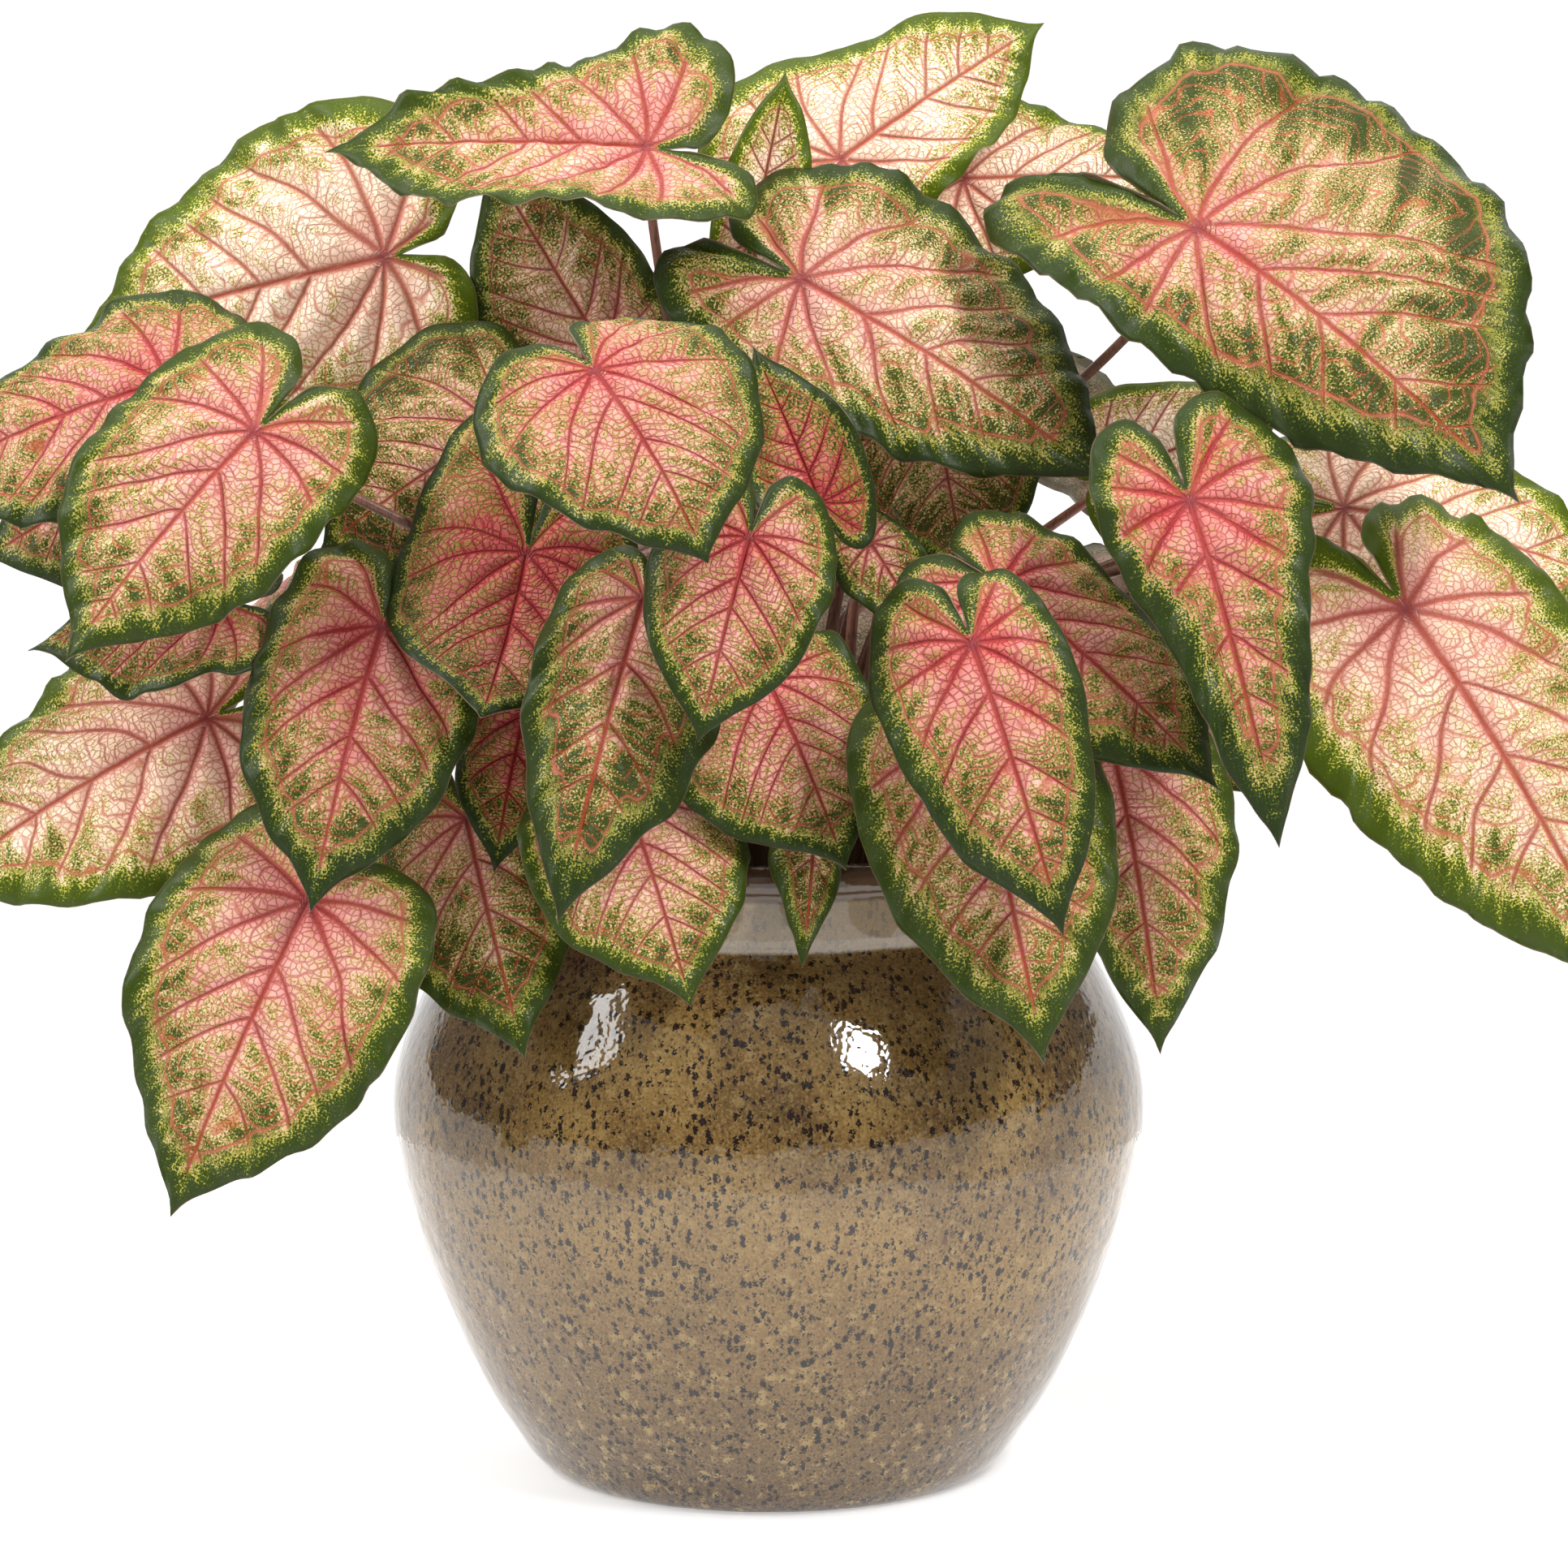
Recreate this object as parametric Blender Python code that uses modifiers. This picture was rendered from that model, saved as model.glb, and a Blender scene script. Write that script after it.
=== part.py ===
"""A caladium in its pot: a turned stoneware pot, its soil, and one node for each heart-shaped leaf on its stem.

Lengths in the constants are millimetres and angles are degrees. MM turns them into Blender's metres.
The pot stands on z = 0 with its axis on the z axis, and the plant's front looks along -Y.
"""
import math

import bmesh
import bpy
import numpy as np
from mathutils import Vector

MM = 0.001

# Driving dimensions of the pot
POT_HEIGHT = 262.0
POT_RADIUS = 150.0
RIM_RADIUS = 115.0
LIP_RADIUS = 6.5
FOOT_RADIUS = 88.0
WALL = 9.0
FLOOR = 14.0
SOIL_TOP = 238.0
GAP = 0.3
TURNS = 24

# Driving dimensions of the leaves
BLADE = 0.8
STEM_BASE_RADIUS = 3.0
STEM_TIP_RADIUS = 1.7
STEM_DEPTH = 14.0
STEM_SPACING = 10.0
STEM_RING = 76.0
STEM_CLIMB = 18.0
STEM_ARCH = 96.0
HOLE_RADIUS = 3.9
HOLE_DEPTH = 26.0
WAVES = 2

# How finely leaves and stems are divided, by the length of the blade
STEM_PIECES = 3
HOLE_SIDES = 6
LARGE_LEAF, LARGE_GRID = 112.0, (9, 3)
MIDDLE_LEAF, MIDDLE_GRID = 68.0, (8, 2)
SMALL_GRID = (6, 2)

# Colours, as linear red, green and blue
PINK_LEAF = (0.62, 0.33, 0.24)
GREEN_LEAF = (0.36, 0.38, 0.12)
GLAZE = (0.26, 0.18, 0.09)
POTTING_MIX = (0.035, 0.02, 0.012)

# Outline of one half of a leaf, from the notch behind the stem round to the tip.
# Each point is (along the midrib, out from it) as a share of the length from stem to tip.
NOTCH = (-0.05, 0.0)
OUTLINE = [
    NOTCH, (-0.15, 0.014), (-0.26, 0.045), (-0.33, 0.17), (-0.28, 0.33), (-0.08, 0.445),
    (0.14, 0.48), (0.36, 0.46), (0.57, 0.38), (0.74, 0.255), (0.88, 0.11), (1.0, 0.0),
]
HALF_WIDTH = 0.48


def leaf(attach, tip, face, width, **shape):
    """One leaf: where stem and blade meet, where the tip is, and which way the upper side looks.

    face is (turn, rise) in degrees: turn 0 looks to the front, 90 to +X, and rise lifts the look upward.
    halves and lobes scale the left and right half of the blade and waist narrows each ahead of the stem.
    sides tilts each half, curl rolls it, bow bends the midrib and droop bends the lobes back. wave is the
    height of the ruffle at the margin. lean, lift and reach lead the stem round its neighbours.
    """
    plain = dict(bow=12, sides=(-6, -6), curl=(-10, -10), lobes=(1, 1), halves=(1, 1), droop=15, wave=5.5,
                 waist=(0, 0), lean=(0, 0), lift=0, reach=32)
    return {**plain, "attach": attach, "tip": tip, "face": face, "width": width, **shape}


LEAVES = [
    # The crown, from left to right
    leaf((-153, 34, 483), (-280, 91, 446), (-28, 14), 0.92, bow=8, sides=(-4, -4), lobes=(0.7, 0.75),
         halves=(1.12, 0.95), lean=(0, 30)),
    leaf((-48, -5, 530), (-175, 12, 527), (-10, 58), 0.95, bow=6, sides=(20, 4), curl=(-6, 14), wave=5,
         halves=(1.15, 1), lobes=(0.7, 1.1), waist=(0.5, 0)),
    leaf((29, 70, 519), (112, 111, 571), (0, 38), 1.2, bow=6, sides=(2, 2), wave=7, halves=(0.65, 1),
         lobes=(0.6, 1.35), waist=(0, 0.3)),
    leaf((-7, 20, 491), (7, 32, 558), (10, 8), 0.6, bow=6, sides=(12, 30), wave=2),
    leaf((79, 84, 510), (176, 92, 508), (6, 44), 0.96, bow=6),
    leaf((166, -55, 503), (289, -86, 400), (14, 30), 0.96, bow=14, wave=11, lobes=(1.6, 1.3),
         halves=(0.8, 1.66), waist=(0.2, 0), sides=(-4, -8), reach=60, lean=(0, 88)),
    leaf((-65, 18, 448), (-112, 32, 524), (-10, 4), 0.9, bow=4, sides=(4, 4), lobes=(0.35, 0.35),
         halves=(0.85, 1), reach=20, lean=(4, -10)),
    leaf((13, -25, 480), (134, -45, 402), (14, 32), 0.86, bow=10, lobes=(1.15, 0.95), halves=(0.8, 1.16),
         wave=6),
    # The left side, from the top down
    leaf((-236, -25, 439), (-339, -5, 394), (-30, 38), 0.98, bow=14, lean=(0, 22)),
    leaf((-198, -75, 426), (-270, -99, 340), (-12, 24), 0.92, lobes=(1.1, 1.1), halves=(1.12, 0.95), wave=6,
         lean=(0, -25)),
    leaf((-236, 12, 407), (-314, 29, 362), (-24, 20), 1.05, bow=10),
    leaf((-107, -18, 420), (-177, -16, 372), (-16, 20), 1.2, halves=(1.2, 1)),
    leaf((-215, -46, 355), (-290, -42, 336), (-25, 55), 1.1),
    leaf((-221, -28, 307), (-333, -27, 236), (-24, 32), 0.9, halves=(1.1, 1)),
    leaf((-149, -81, 351), (-175, -124, 247), (-8, 24), 0.84, bow=14, halves=(1.05, 1)),
    leaf((-177, -102, 247), (-231, -118, 126), (-16, 14), 0.92, lobes=(0.75, 0.6), wave=6, sides=(-4, 2),
         curl=(-8, 0), reach=55, lean=(-15, 50)),
    # The middle of the front
    leaf((-93, -78, 379), (-109, -134, 324), (0, 45), 1.2, bow=-20, sides=(6, 6), curl=(-26, -26),
         lobes=(2.5, 1.2), halves=(1.12, 1)),
    leaf((-65, -140, 457), (-22, -186, 390), (10, 38), 1.2, bow=18, wave=6, lobes=(0.9, 1.3), halves=(1, 1.08)),
    leaf((-47, -136, 370), (-79, -176, 252), (-6, 20), 0.56, lobes=(0.5, 0.5), sides=(-14, -14),
         halves=(1.1, 1.2), lean=(-25, 0)),
    leaf((-7, -150, 395), (-26, -187, 323), (0, 27), 0.9, lobes=(1.2, 1.2), lean=(-14, 10)),
    leaf((20, -70, 398), (-6, -62, 458), (6, 10), 0.75, bow=8, sides=(10, 4), lean=(0, 8)),
    leaf((65, 4, 428), (78, -24, 358), (4, 22), 1.15, bow=14),
    leaf((40, -41, 378), (64, -47, 339), (10, 20), 0.78, bow=10),
    leaf((0, -90, 331), (30, -134, 265), (8, 36), 0.96, halves=(1.35, 1), lean=(8, -8), lift=-50),
    leaf((-92, -64, 326), (-106, -94, 257), (-10, 25), 0.72, sides=(2, 2)),
    leaf((-117, -76, 275), (-93, -127, 190), (-10, 28), 0.72, halves=(1.35, 1), sides=(-11, -6)),
    leaf((-53, -109, 286), (-29, -150, 215), (0, 30), 0.86, bow=14, halves=(1.3, 1.15), sides=(-2, -6),
         curl=(-4, -10)),
    leaf((18, -109, 287), (13, -139, 228), (20, 24), 0.5, bow=10, sides=(-25, -25), lobes=(0.5, 0.5)),
    # The right side
    leaf((77, -160, 356), (111, -191, 250), (6, 18), 0.66, bow=14, lobes=(0.9, 0.9), sides=(-10, -10),
         halves=(1.15, 1), lean=(4, 0)),
    leaf((77, -119, 317), (105, -156, 194), (6, 18), 0.8, bow=14, lobes=(0.65, 0.65), lean=(8, 0), lift=-40),
    leaf((134, -70, 301), (152, -103, 187), (14, 18), 0.6, bow=14, halves=(0.9, 1.35)),
    leaf((90, -92, 368), (173, -127, 294), (14, 36), 0.86, halves=(0.75, 0.95), sides=(-6, -12)),
    leaf((160, -127, 406), (193, -164, 279), (8, 18), 0.7, bow=16, waist=(0.4, 0.4), lobes=(0.95, 1),
         halves=(0.85, 1.2), lift=40, reach=100),
    leaf((250, -40, 352), (336, -83, 205), (16, 24), 0.76, bow=14, lobes=(0.85, 0.85), wave=5,
         halves=(1.05, 1)),
    leaf((230, 20, 384), (350, 24, 348), (20, 46), 0.9),
    leaf((258, 24, 346), (226, 38, 371), (0, 30), 0.8, bow=6, lobes=(0.8, 0.8)),
    leaf((136, 2, 400), (206, 14, 426), (0, 24), 0.95, bow=4, lobes=(0.6, 0.6)),
    leaf((166, -14, 303), (197, -14, 273), (20, 20), 0.8, bow=10, lean=(0, -20), lift=-30),
    # The back, hidden in the photograph
    leaf((0, 120, 430), (-22, 199, 336), (180, 40), 0.95, bow=14),
    leaf((85, 115, 440), (152, 179, 349), (145, 45), 0.9),
    leaf((-92, 100, 415), (-151, 162, 331), (-145, 45), 0.92, bow=14),
    leaf((200, 88, 386), (277, 119, 286), (112, 40), 0.9, bow=14),
    leaf((-192, 62, 352), (-254, 93, 254), (-106, 35), 0.9, bow=14),
    leaf((55, 165, 350), (58, 219, 237), (165, 25), 0.86, bow=14),
    leaf((-60, 165, 345), (-58, 223, 240), (-165, 28), 0.88, bow=14),
    leaf((140, 150, 332), (179, 185, 219), (132, 25), 0.86, bow=14),
    leaf((-150, 140, 325), (-195, 169, 212), (-132, 25), 0.86, bow=14),
    leaf((200, 90, 348), (275, 130, 271), (118, 48), 0.86),
    leaf((-170, 95, 300), (-221, 116, 205), (-112, 30), 0.86),
    leaf((70, 140, 285), (96, 172, 178), (158, 20), 0.8, bow=14),
    leaf((-75, 140, 280), (-104, 169, 173), (-152, 20), 0.8, bow=14),
]


def unit(vector):
    """The same direction with length 1."""
    vector = np.asarray(vector, float)
    return vector / np.linalg.norm(vector)


def smooth_line(points, steps):
    """A Catmull-Rom curve through the points, read at steps + 1 places an equal length apart."""
    points = np.asarray(points, float)
    ends = [2 * points[0] - points[1], 2 * points[-1] - points[-2]]
    knots = np.vstack([ends[:1], points, ends[1:]])
    between = 24
    share = np.linspace(0, 1, between, endpoint=False)[:, None]
    fine = []
    for a, b, c, d in zip(knots, knots[1:], knots[2:], knots[3:]):
        bend = (2 * a - 5 * b + 4 * c - d) * share**2 + (3 * b - a - 3 * c + d) * share**3
        fine.append(0.5 * (2 * b + (c - a) * share + bend))
    fine = np.vstack([*fine, points[-1:]])
    lengths = np.linalg.norm(np.diff(fine, axis=0), axis=1)
    travelled = np.concatenate([[0], np.cumsum(lengths)])
    stops = np.linspace(0, travelled[-1], steps + 1)
    return np.column_stack([np.interp(stops, travelled, fine[:, 0]), np.interp(stops, travelled, fine[:, 1])])


def leaf_frame(one):
    """Stem point, midrib direction, direction to the right half, upper side, midrib length and half its bend."""
    attach = np.array(one["attach"], float)
    chord = np.array(one["tip"], float) - attach
    turn, rise = np.radians(one["face"])
    look = np.array([math.sin(turn) * math.cos(rise), -math.cos(turn) * math.cos(rise), math.sin(rise)])
    along = unit(chord)
    upper = unit(look - (look @ along) * along)
    bow = math.radians(one["bow"])
    length = np.linalg.norm(chord) * bow / math.sin(bow)
    return attach, along, np.cross(upper, along), upper, length, bow


def half_outline(one, side, steps):
    """The outline of the left (0) or right (1) half in millimetres, from the notch to the tip."""
    points = np.array(OUTLINE)
    points[:, 0] = np.where(points[:, 0] < 0, points[:, 0] * one["lobes"][side], points[:, 0])
    pinch = 1 - one["waist"][side] * np.sin(np.pi * np.clip(points[:, 0], 0, 1))
    points[:, 1] *= one["width"] * one["halves"][side] * pinch
    points[0] = NOTCH
    return smooth_line(points, steps) * leaf_frame(one)[4]


def along_arc(turning, start, distance):
    """How far an arc that starts at angle start runs forward, and how far it leaves its line, after a distance."""
    turning = np.where(np.abs(turning) < 1e-9, 1e-9, turning)
    angle = start + turning * distance
    return (np.sin(angle) - np.sin(start)) / turning, (np.cos(start) - np.cos(angle)) / turning


def bend_blade(one, number, along, out, side, around, outward):
    """Carry flat leaf places to space.

    The midrib is an arc of half-angle bow, the lobes bend back by droop, each half tilts by sides and rolls
    by curl, and the margin ruffles as wave * outward^2.5 * sin(2 pi WAVES around + phase).
    """
    attach, ahead, across, upper, length, bow = leaf_frame(one)
    lobe = -min(point[0] for point in OUTLINE) * length
    turning = np.where(along >= 0, -2 * bow / length, -math.radians(one["droop"]) / lobe)
    forward, rise = along_arc(turning, bow, along)
    angle = bow + turning * along
    half = (side > 0).astype(int)
    tilt = np.radians(np.array(one["sides"], float))[half]
    roll = np.radians(np.array(one["curl"], float))[half]
    width, lifted = along_arc(roll / (HALF_WIDTH * one["width"] * length), tilt, out)
    calm = np.sin(np.pi * np.clip(around, 0, 1)) ** 0.7
    phase = 2.4 * number + 2.3 * half
    lifted = lifted + one["wave"] * outward**2.5 * calm * np.sin(2 * np.pi * WAVES * around + phase)
    raised = -np.sin(angle)[..., None] * ahead + np.cos(angle)[..., None] * upper
    flat = attach + forward[..., None] * ahead + rise[..., None] * upper
    return flat + (side * width)[..., None] * across + lifted[..., None] * raised


def stem_roots(leaves):
    """Where the stems leave the soil: low leaves near the rim, high ones near the middle, then spread apart."""
    places = np.array([one["attach"] for one in leaves], float)
    far = STEM_RING - 0.19 * (places[:, 2] - SOIL_TOP)
    roots = places[:, :2] / np.linalg.norm(places[:, :2], axis=1)[:, None] * far[:, None]
    rounds = 300
    for _ in range(rounds):
        apart = roots[:, None] - roots[None]
        distance = np.linalg.norm(apart, axis=2) + np.eye(len(roots)) * 1e9
        push = np.clip(STEM_SPACING - distance, 0, None) / distance
        roots = roots + 0.25 * (apart * push[..., None]).sum(axis=1)
    return roots


def stem_route(one, root):
    """The Bezier points of a stem as (handle before, point, handle after), from its base in the soil to the blade."""
    attach, ahead, _, upper, _, bow = leaf_frame(one)
    arrival = unit(math.cos(bow) * upper - math.sin(bow) * ahead)
    ground = np.array([root[0], root[1], SOIL_TOP])
    base = ground - [0, 0, STEM_DEPTH]
    climb = ground + [0, 0, STEM_CLIMB]
    lean_x, lean_y = one["lean"]
    arch = ground + [lean_x, lean_y, STEM_ARCH + 0.12 * (attach[2] - SOIL_TOP) + one["lift"]]
    below = attach - one["reach"] * arrival
    middle = (climb + 2 * arch + below) / 4
    end = attach - BLADE / 8 * arrival
    return [(base, base, climb), ((climb + arch) / 2, middle, (arch + below) / 2), (below, end, end)]


def new_object(name, mesh, collection):
    """An object that shows a mesh in a collection."""
    thing = bpy.data.objects.new(name, mesh)
    collection.objects.link(thing)
    return thing


def paint(thing, colour, roughness, coat=0.0):
    """Give an object a material of its own: a plain Principled surface."""
    material = bpy.data.materials.new(thing.name)
    material.use_nodes = True
    surface = material.node_tree.nodes["Principled BSDF"]
    surface.inputs["Base Color"].default_value = (*colour, 1)
    surface.inputs["Roughness"].default_value = roughness
    surface.inputs["Metallic"].default_value = 0.0
    surface.inputs["Coat Weight"].default_value = coat
    thing.data.materials.clear()
    thing.data.materials.append(material)


def blade_mesh(name, one, number):
    """A leaf blade as a thin bent sheet.

    A grid's columns run round the outline and its rows run from the stem point out to the margin. Its first
    row shrinks to the stem point, and its first and last columns meet at the notch.
    """
    chord = np.linalg.norm(np.subtract(one["tip"], one["attach"]))
    half, rows = LARGE_GRID if chord > LARGE_LEAF else MIDDLE_GRID if chord > MIDDLE_LEAF else SMALL_GRID
    left, right = half_outline(one, 0, half), half_outline(one, 1, half)
    sheet = bmesh.new()
    bmesh.ops.create_grid(sheet, x_segments=2 * half, y_segments=rows, size=0.5)
    spots = np.array([vertex.co[:2] for vertex in sheet.verts]) + 0.5
    column = np.rint(spots[:, 0] * 2 * half).astype(int)
    outward = spots[:, 1]
    on_right = column > half
    step = np.where(on_right, 2 * half - column, column)
    margin = np.where(on_right[:, None], right[step], left[step])
    side = np.where(on_right, 1.0, -1.0)
    spread = outward[:, None] * margin
    places = bend_blade(one, number, spread[:, 0], spread[:, 1], side, step / half, outward)
    for vertex, place in zip(sheet.verts, places):
        vertex.co = Vector(place) * MM
    bmesh.ops.remove_doubles(sheet, verts=sheet.verts, dist=1e-6)
    bmesh.ops.triangulate(sheet, faces=sheet.faces)
    bmesh.ops.recalc_face_normals(sheet, faces=sheet.faces)
    mesh = bpy.data.meshes.new(name)
    sheet.to_mesh(mesh)
    sheet.free()
    return mesh


def stem_mesh(name, route, collection):
    """A stem as a tapered tube along its route, with closed ends."""
    curve = bpy.data.curves.new(name, "CURVE")
    curve.dimensions = "3D"
    curve.bevel_depth = STEM_BASE_RADIUS * MM
    curve.bevel_resolution = 1
    curve.resolution_u = STEM_PIECES
    curve.use_fill_caps = True
    line = curve.splines.new("BEZIER")
    line.bezier_points.add(len(route) - 1)
    taper = np.linspace(1, STEM_TIP_RADIUS / STEM_BASE_RADIUS, len(route))
    for point, (before, place, after), radius in zip(line.bezier_points, route, taper):
        point.co = Vector(place) * MM
        point.handle_left = Vector(before) * MM
        point.handle_right = Vector(after) * MM
        point.radius = radius
    guide = new_object(name, curve, collection)
    shape = guide.evaluated_get(bpy.context.evaluated_depsgraph_get())
    mesh = bpy.data.meshes.new_from_object(shape)
    bpy.data.objects.remove(guide)
    bpy.data.curves.remove(curve)
    tube = bmesh.new()
    tube.from_mesh(mesh)
    bmesh.ops.remove_doubles(tube, verts=tube.verts, dist=1e-6)
    tube.to_mesh(mesh)
    tube.free()
    return mesh


def as_guide(thing):
    """Mark an object that only cuts or joins another one."""
    thing.hide_render = True
    thing.display_type = "WIRE"


def make_leaf(number, one, root, collection, cutters):
    """Blade and stem as one body: the sheet is thickened and the stem is joined to it."""
    name = f"leaf_{number:02d}"
    blade = new_object(name, blade_mesh(name, one, number), collection)
    thicken = blade.modifiers.new("thickness", "SOLIDIFY")
    thicken.thickness = BLADE * MM
    thicken.offset = 0
    stem = new_object(f"{name}_stem", stem_mesh(f"{name}_stem", stem_route(one, root), cutters), cutters)
    as_guide(stem)
    join = blade.modifiers.new("stem", "BOOLEAN")
    join.operation = "UNION"
    join.object = stem
    paint(blade, PINK_LEAF if number % 3 else GREEN_LEAF, 0.45)
    return blade


def turned(name, profile, collection):
    """A body of revolution round the z axis from (radius, height) points that run down its outer side."""
    mesh = bpy.data.meshes.new(name)
    points = [(radius * MM, 0, height * MM) for radius, height in profile]
    mesh.from_pydata(points, [(i, i + 1) for i in range(len(points) - 1)], [])
    thing = new_object(name, mesh, collection)
    screw = thing.modifiers.new("turn", "SCREW")
    screw.steps = TURNS
    screw.render_steps = TURNS
    screw.use_merge_vertices = True
    screw.merge_threshold = 1e-5
    return thing


def wall_curve(inset, steps):
    """The pot's side from under its neck to its foot, moved inward by inset."""
    side = [
        (RIM_RADIUS - 3, 227), (POT_RADIUS - 17, 202), (POT_RADIUS, 155), (POT_RADIUS - 7, 104),
        (POT_RADIUS - 31, 44), (FOOT_RADIUS + 10, 9),
    ]
    line = smooth_line(side, steps)
    line[:, 0] -= inset
    return line


def inner_profile(inset):
    """The inside of the pot from the soil's level down to the middle of its floor, moved inward by inset."""
    wall = wall_curve(WALL + inset, 4)[:-1]
    wall[-1, 1] += 6
    neck = [(RIM_RADIUS - 12 - inset, SOIL_TOP)]
    return [*neck, *map(tuple, wall), (FOOT_RADIUS - 4 - inset, FLOOR + inset), (0, FLOOR + inset)]


def make_pot(collection):
    """The glazed pot: a rolled lip over a plain neck band, a round belly and a flat foot."""
    lip_x, lip_z = RIM_RADIUS - LIP_RADIUS, POT_HEIGHT - LIP_RADIUS
    turns = np.radians([170, 125, 80, 35, -10, -50])
    lip = [(lip_x + LIP_RADIUS * math.cos(a), lip_z + LIP_RADIUS * math.sin(a)) for a in turns]
    band = [(RIM_RADIUS - 2.2, 246), (RIM_RADIUS - 1.5, 233), (RIM_RADIUS - 3.5, 229)]
    foot = [(FOOT_RADIUS + 5, 3), (FOOT_RADIUS, 0), (0, 0)]
    outer = [*lip, *band, *map(tuple, wall_curve(0, 9)), *foot]
    pot = turned("pot", [*reversed(inner_profile(0)), *outer], collection)
    paint(pot, GLAZE, 0.12, coat=0.6)
    return pot


def make_soil(routes, collection, cutters):
    """The potting mix: it fills the pot, and each stem stands in a plain hole of its own."""
    inside = inner_profile(GAP)
    soil = turned("soil", [(0, SOIL_TOP), *inside], collection)
    holes = bpy.data.collections.new("stem_holes")
    cutters.children.link(holes)
    for number, route in enumerate(routes, 1):
        base = route[0][1]
        direction = unit(first_ring(route) - base)
        middle = base + direction * (HOLE_DEPTH / 2 - 1)
        drill = bmesh.new()
        bmesh.ops.create_cone(drill, cap_ends=True, segments=HOLE_SIDES, radius1=HOLE_RADIUS * MM,
                              radius2=HOLE_RADIUS * MM, depth=HOLE_DEPTH * MM)
        mesh = bpy.data.meshes.new(f"hole_{number:02d}")
        drill.to_mesh(mesh)
        drill.free()
        hole = new_object(mesh.name, mesh, holes)
        hole.location = Vector(middle) * MM
        hole.rotation_euler = Vector(direction).to_track_quat("Z", "Y").to_euler()
        as_guide(hole)
    drilled = soil.modifiers.new("holes", "BOOLEAN")
    drilled.operation = "DIFFERENCE"
    drilled.operand_type = "COLLECTION"
    drilled.collection = holes
    paint(soil, POTTING_MIX, 0.95)
    return soil


def first_ring(route):
    """Where the stem's first straight piece ends on its first Bezier arc."""
    (_, start, after), (before, end, _) = route[0], route[1]
    t = 1 / STEM_PIECES
    return (1 - t) ** 3 * start + 3 * (1 - t) ** 2 * t * after + 3 * (1 - t) * t**2 * before + t**3 * end


def main():
    for thing in list(bpy.data.objects):
        bpy.data.objects.remove(thing)
    collection = bpy.data.collections.new("caladium_in_pot")
    cutters = bpy.data.collections.new("cutters")
    for group in (collection, cutters):
        bpy.context.scene.collection.children.link(group)
    roots = stem_roots(LEAVES)
    routes = [stem_route(one, root) for one, root in zip(LEAVES, roots)]
    make_pot(collection)
    make_soil(routes, collection, cutters)
    for number, (one, root) in enumerate(zip(LEAVES, roots), 1):
        make_leaf(number, one, root, collection, cutters)
    print(f"pot, soil and {len(LEAVES)} leaves")


main()
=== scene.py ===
# %% [markdown]
# # A caladium in its pot
#
# This notebook dresses a potted caladium, a house plant grown for its thin, heart-shaped, pink and green
# leaves. Its frame comes ready made: one solid for each leaf on its stalk, one for the pot, one for the soil.
# Here each gets the surface that the eye sees: waved blades with veins, a speckled glaze, crumbly potting
# mix, and a studio to look at them in.
#
# Lengths are millimetres until the last step of each piece, where MM turns them into Blender's metres.

# %% Load the frame
import math

import bpy
import numpy as np
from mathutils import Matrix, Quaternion, Vector


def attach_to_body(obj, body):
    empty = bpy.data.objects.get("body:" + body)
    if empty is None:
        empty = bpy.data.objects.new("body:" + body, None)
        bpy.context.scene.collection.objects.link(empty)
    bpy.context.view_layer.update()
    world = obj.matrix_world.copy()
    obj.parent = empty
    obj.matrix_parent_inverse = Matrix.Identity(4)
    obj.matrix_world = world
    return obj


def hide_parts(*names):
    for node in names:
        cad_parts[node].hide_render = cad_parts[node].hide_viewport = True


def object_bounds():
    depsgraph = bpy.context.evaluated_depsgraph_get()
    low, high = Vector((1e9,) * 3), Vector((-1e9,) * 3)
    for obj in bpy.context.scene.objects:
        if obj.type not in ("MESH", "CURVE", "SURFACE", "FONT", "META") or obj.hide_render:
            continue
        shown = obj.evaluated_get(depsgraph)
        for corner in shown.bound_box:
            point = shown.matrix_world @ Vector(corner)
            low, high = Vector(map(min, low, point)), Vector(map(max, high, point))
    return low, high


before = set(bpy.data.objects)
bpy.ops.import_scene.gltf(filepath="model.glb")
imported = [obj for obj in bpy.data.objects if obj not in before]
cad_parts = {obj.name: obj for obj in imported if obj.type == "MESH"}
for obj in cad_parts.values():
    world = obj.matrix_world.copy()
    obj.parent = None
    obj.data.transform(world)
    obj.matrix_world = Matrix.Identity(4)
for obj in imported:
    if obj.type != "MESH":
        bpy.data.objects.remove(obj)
cad_low, cad_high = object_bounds()
MM = 0.001
print(f"frame: {len(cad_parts)} nodes, {[round(1000 * (b - a)) for a, b in zip(cad_low, cad_high)]} mm")


# %% [markdown]
# ## Small tools
#
# Colours are given in sRGB, as a hex value, and the shader wants them linear. One function adds a
# node and fills its sockets, and short words stand for the kinds used most, so that a shader reads like the
# sum that it works out. A mesh is made from numpy arrays, with named values stored on its points, because the
# veins of a leaf follow its surface and not the room.

# %% Colours and nodes
def linear(code):
    """An sRGB hex colour as linear red, green, blue and alpha 1."""
    share = [int(code[i : i + 2], 16) / 255 for i in (1, 3, 5)]
    return (*(c / 12.92 if c <= 0.04045 else ((c + 0.055) / 1.055) ** 2.4 for c in share), 1.0)


def give(socket, value):
    """Set a socket to a number or a colour, or link another node's output to it."""
    if isinstance(value, bpy.types.NodeSocket):
        socket.id_data.links.new(value, socket)
    else:
        socket.default_value = value


def fill(node, **named):
    """Give a node's sockets their values by name, with _ for a space."""
    for key, value in named.items():
        give(node.inputs[key.replace("_", " ")], value)


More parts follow.
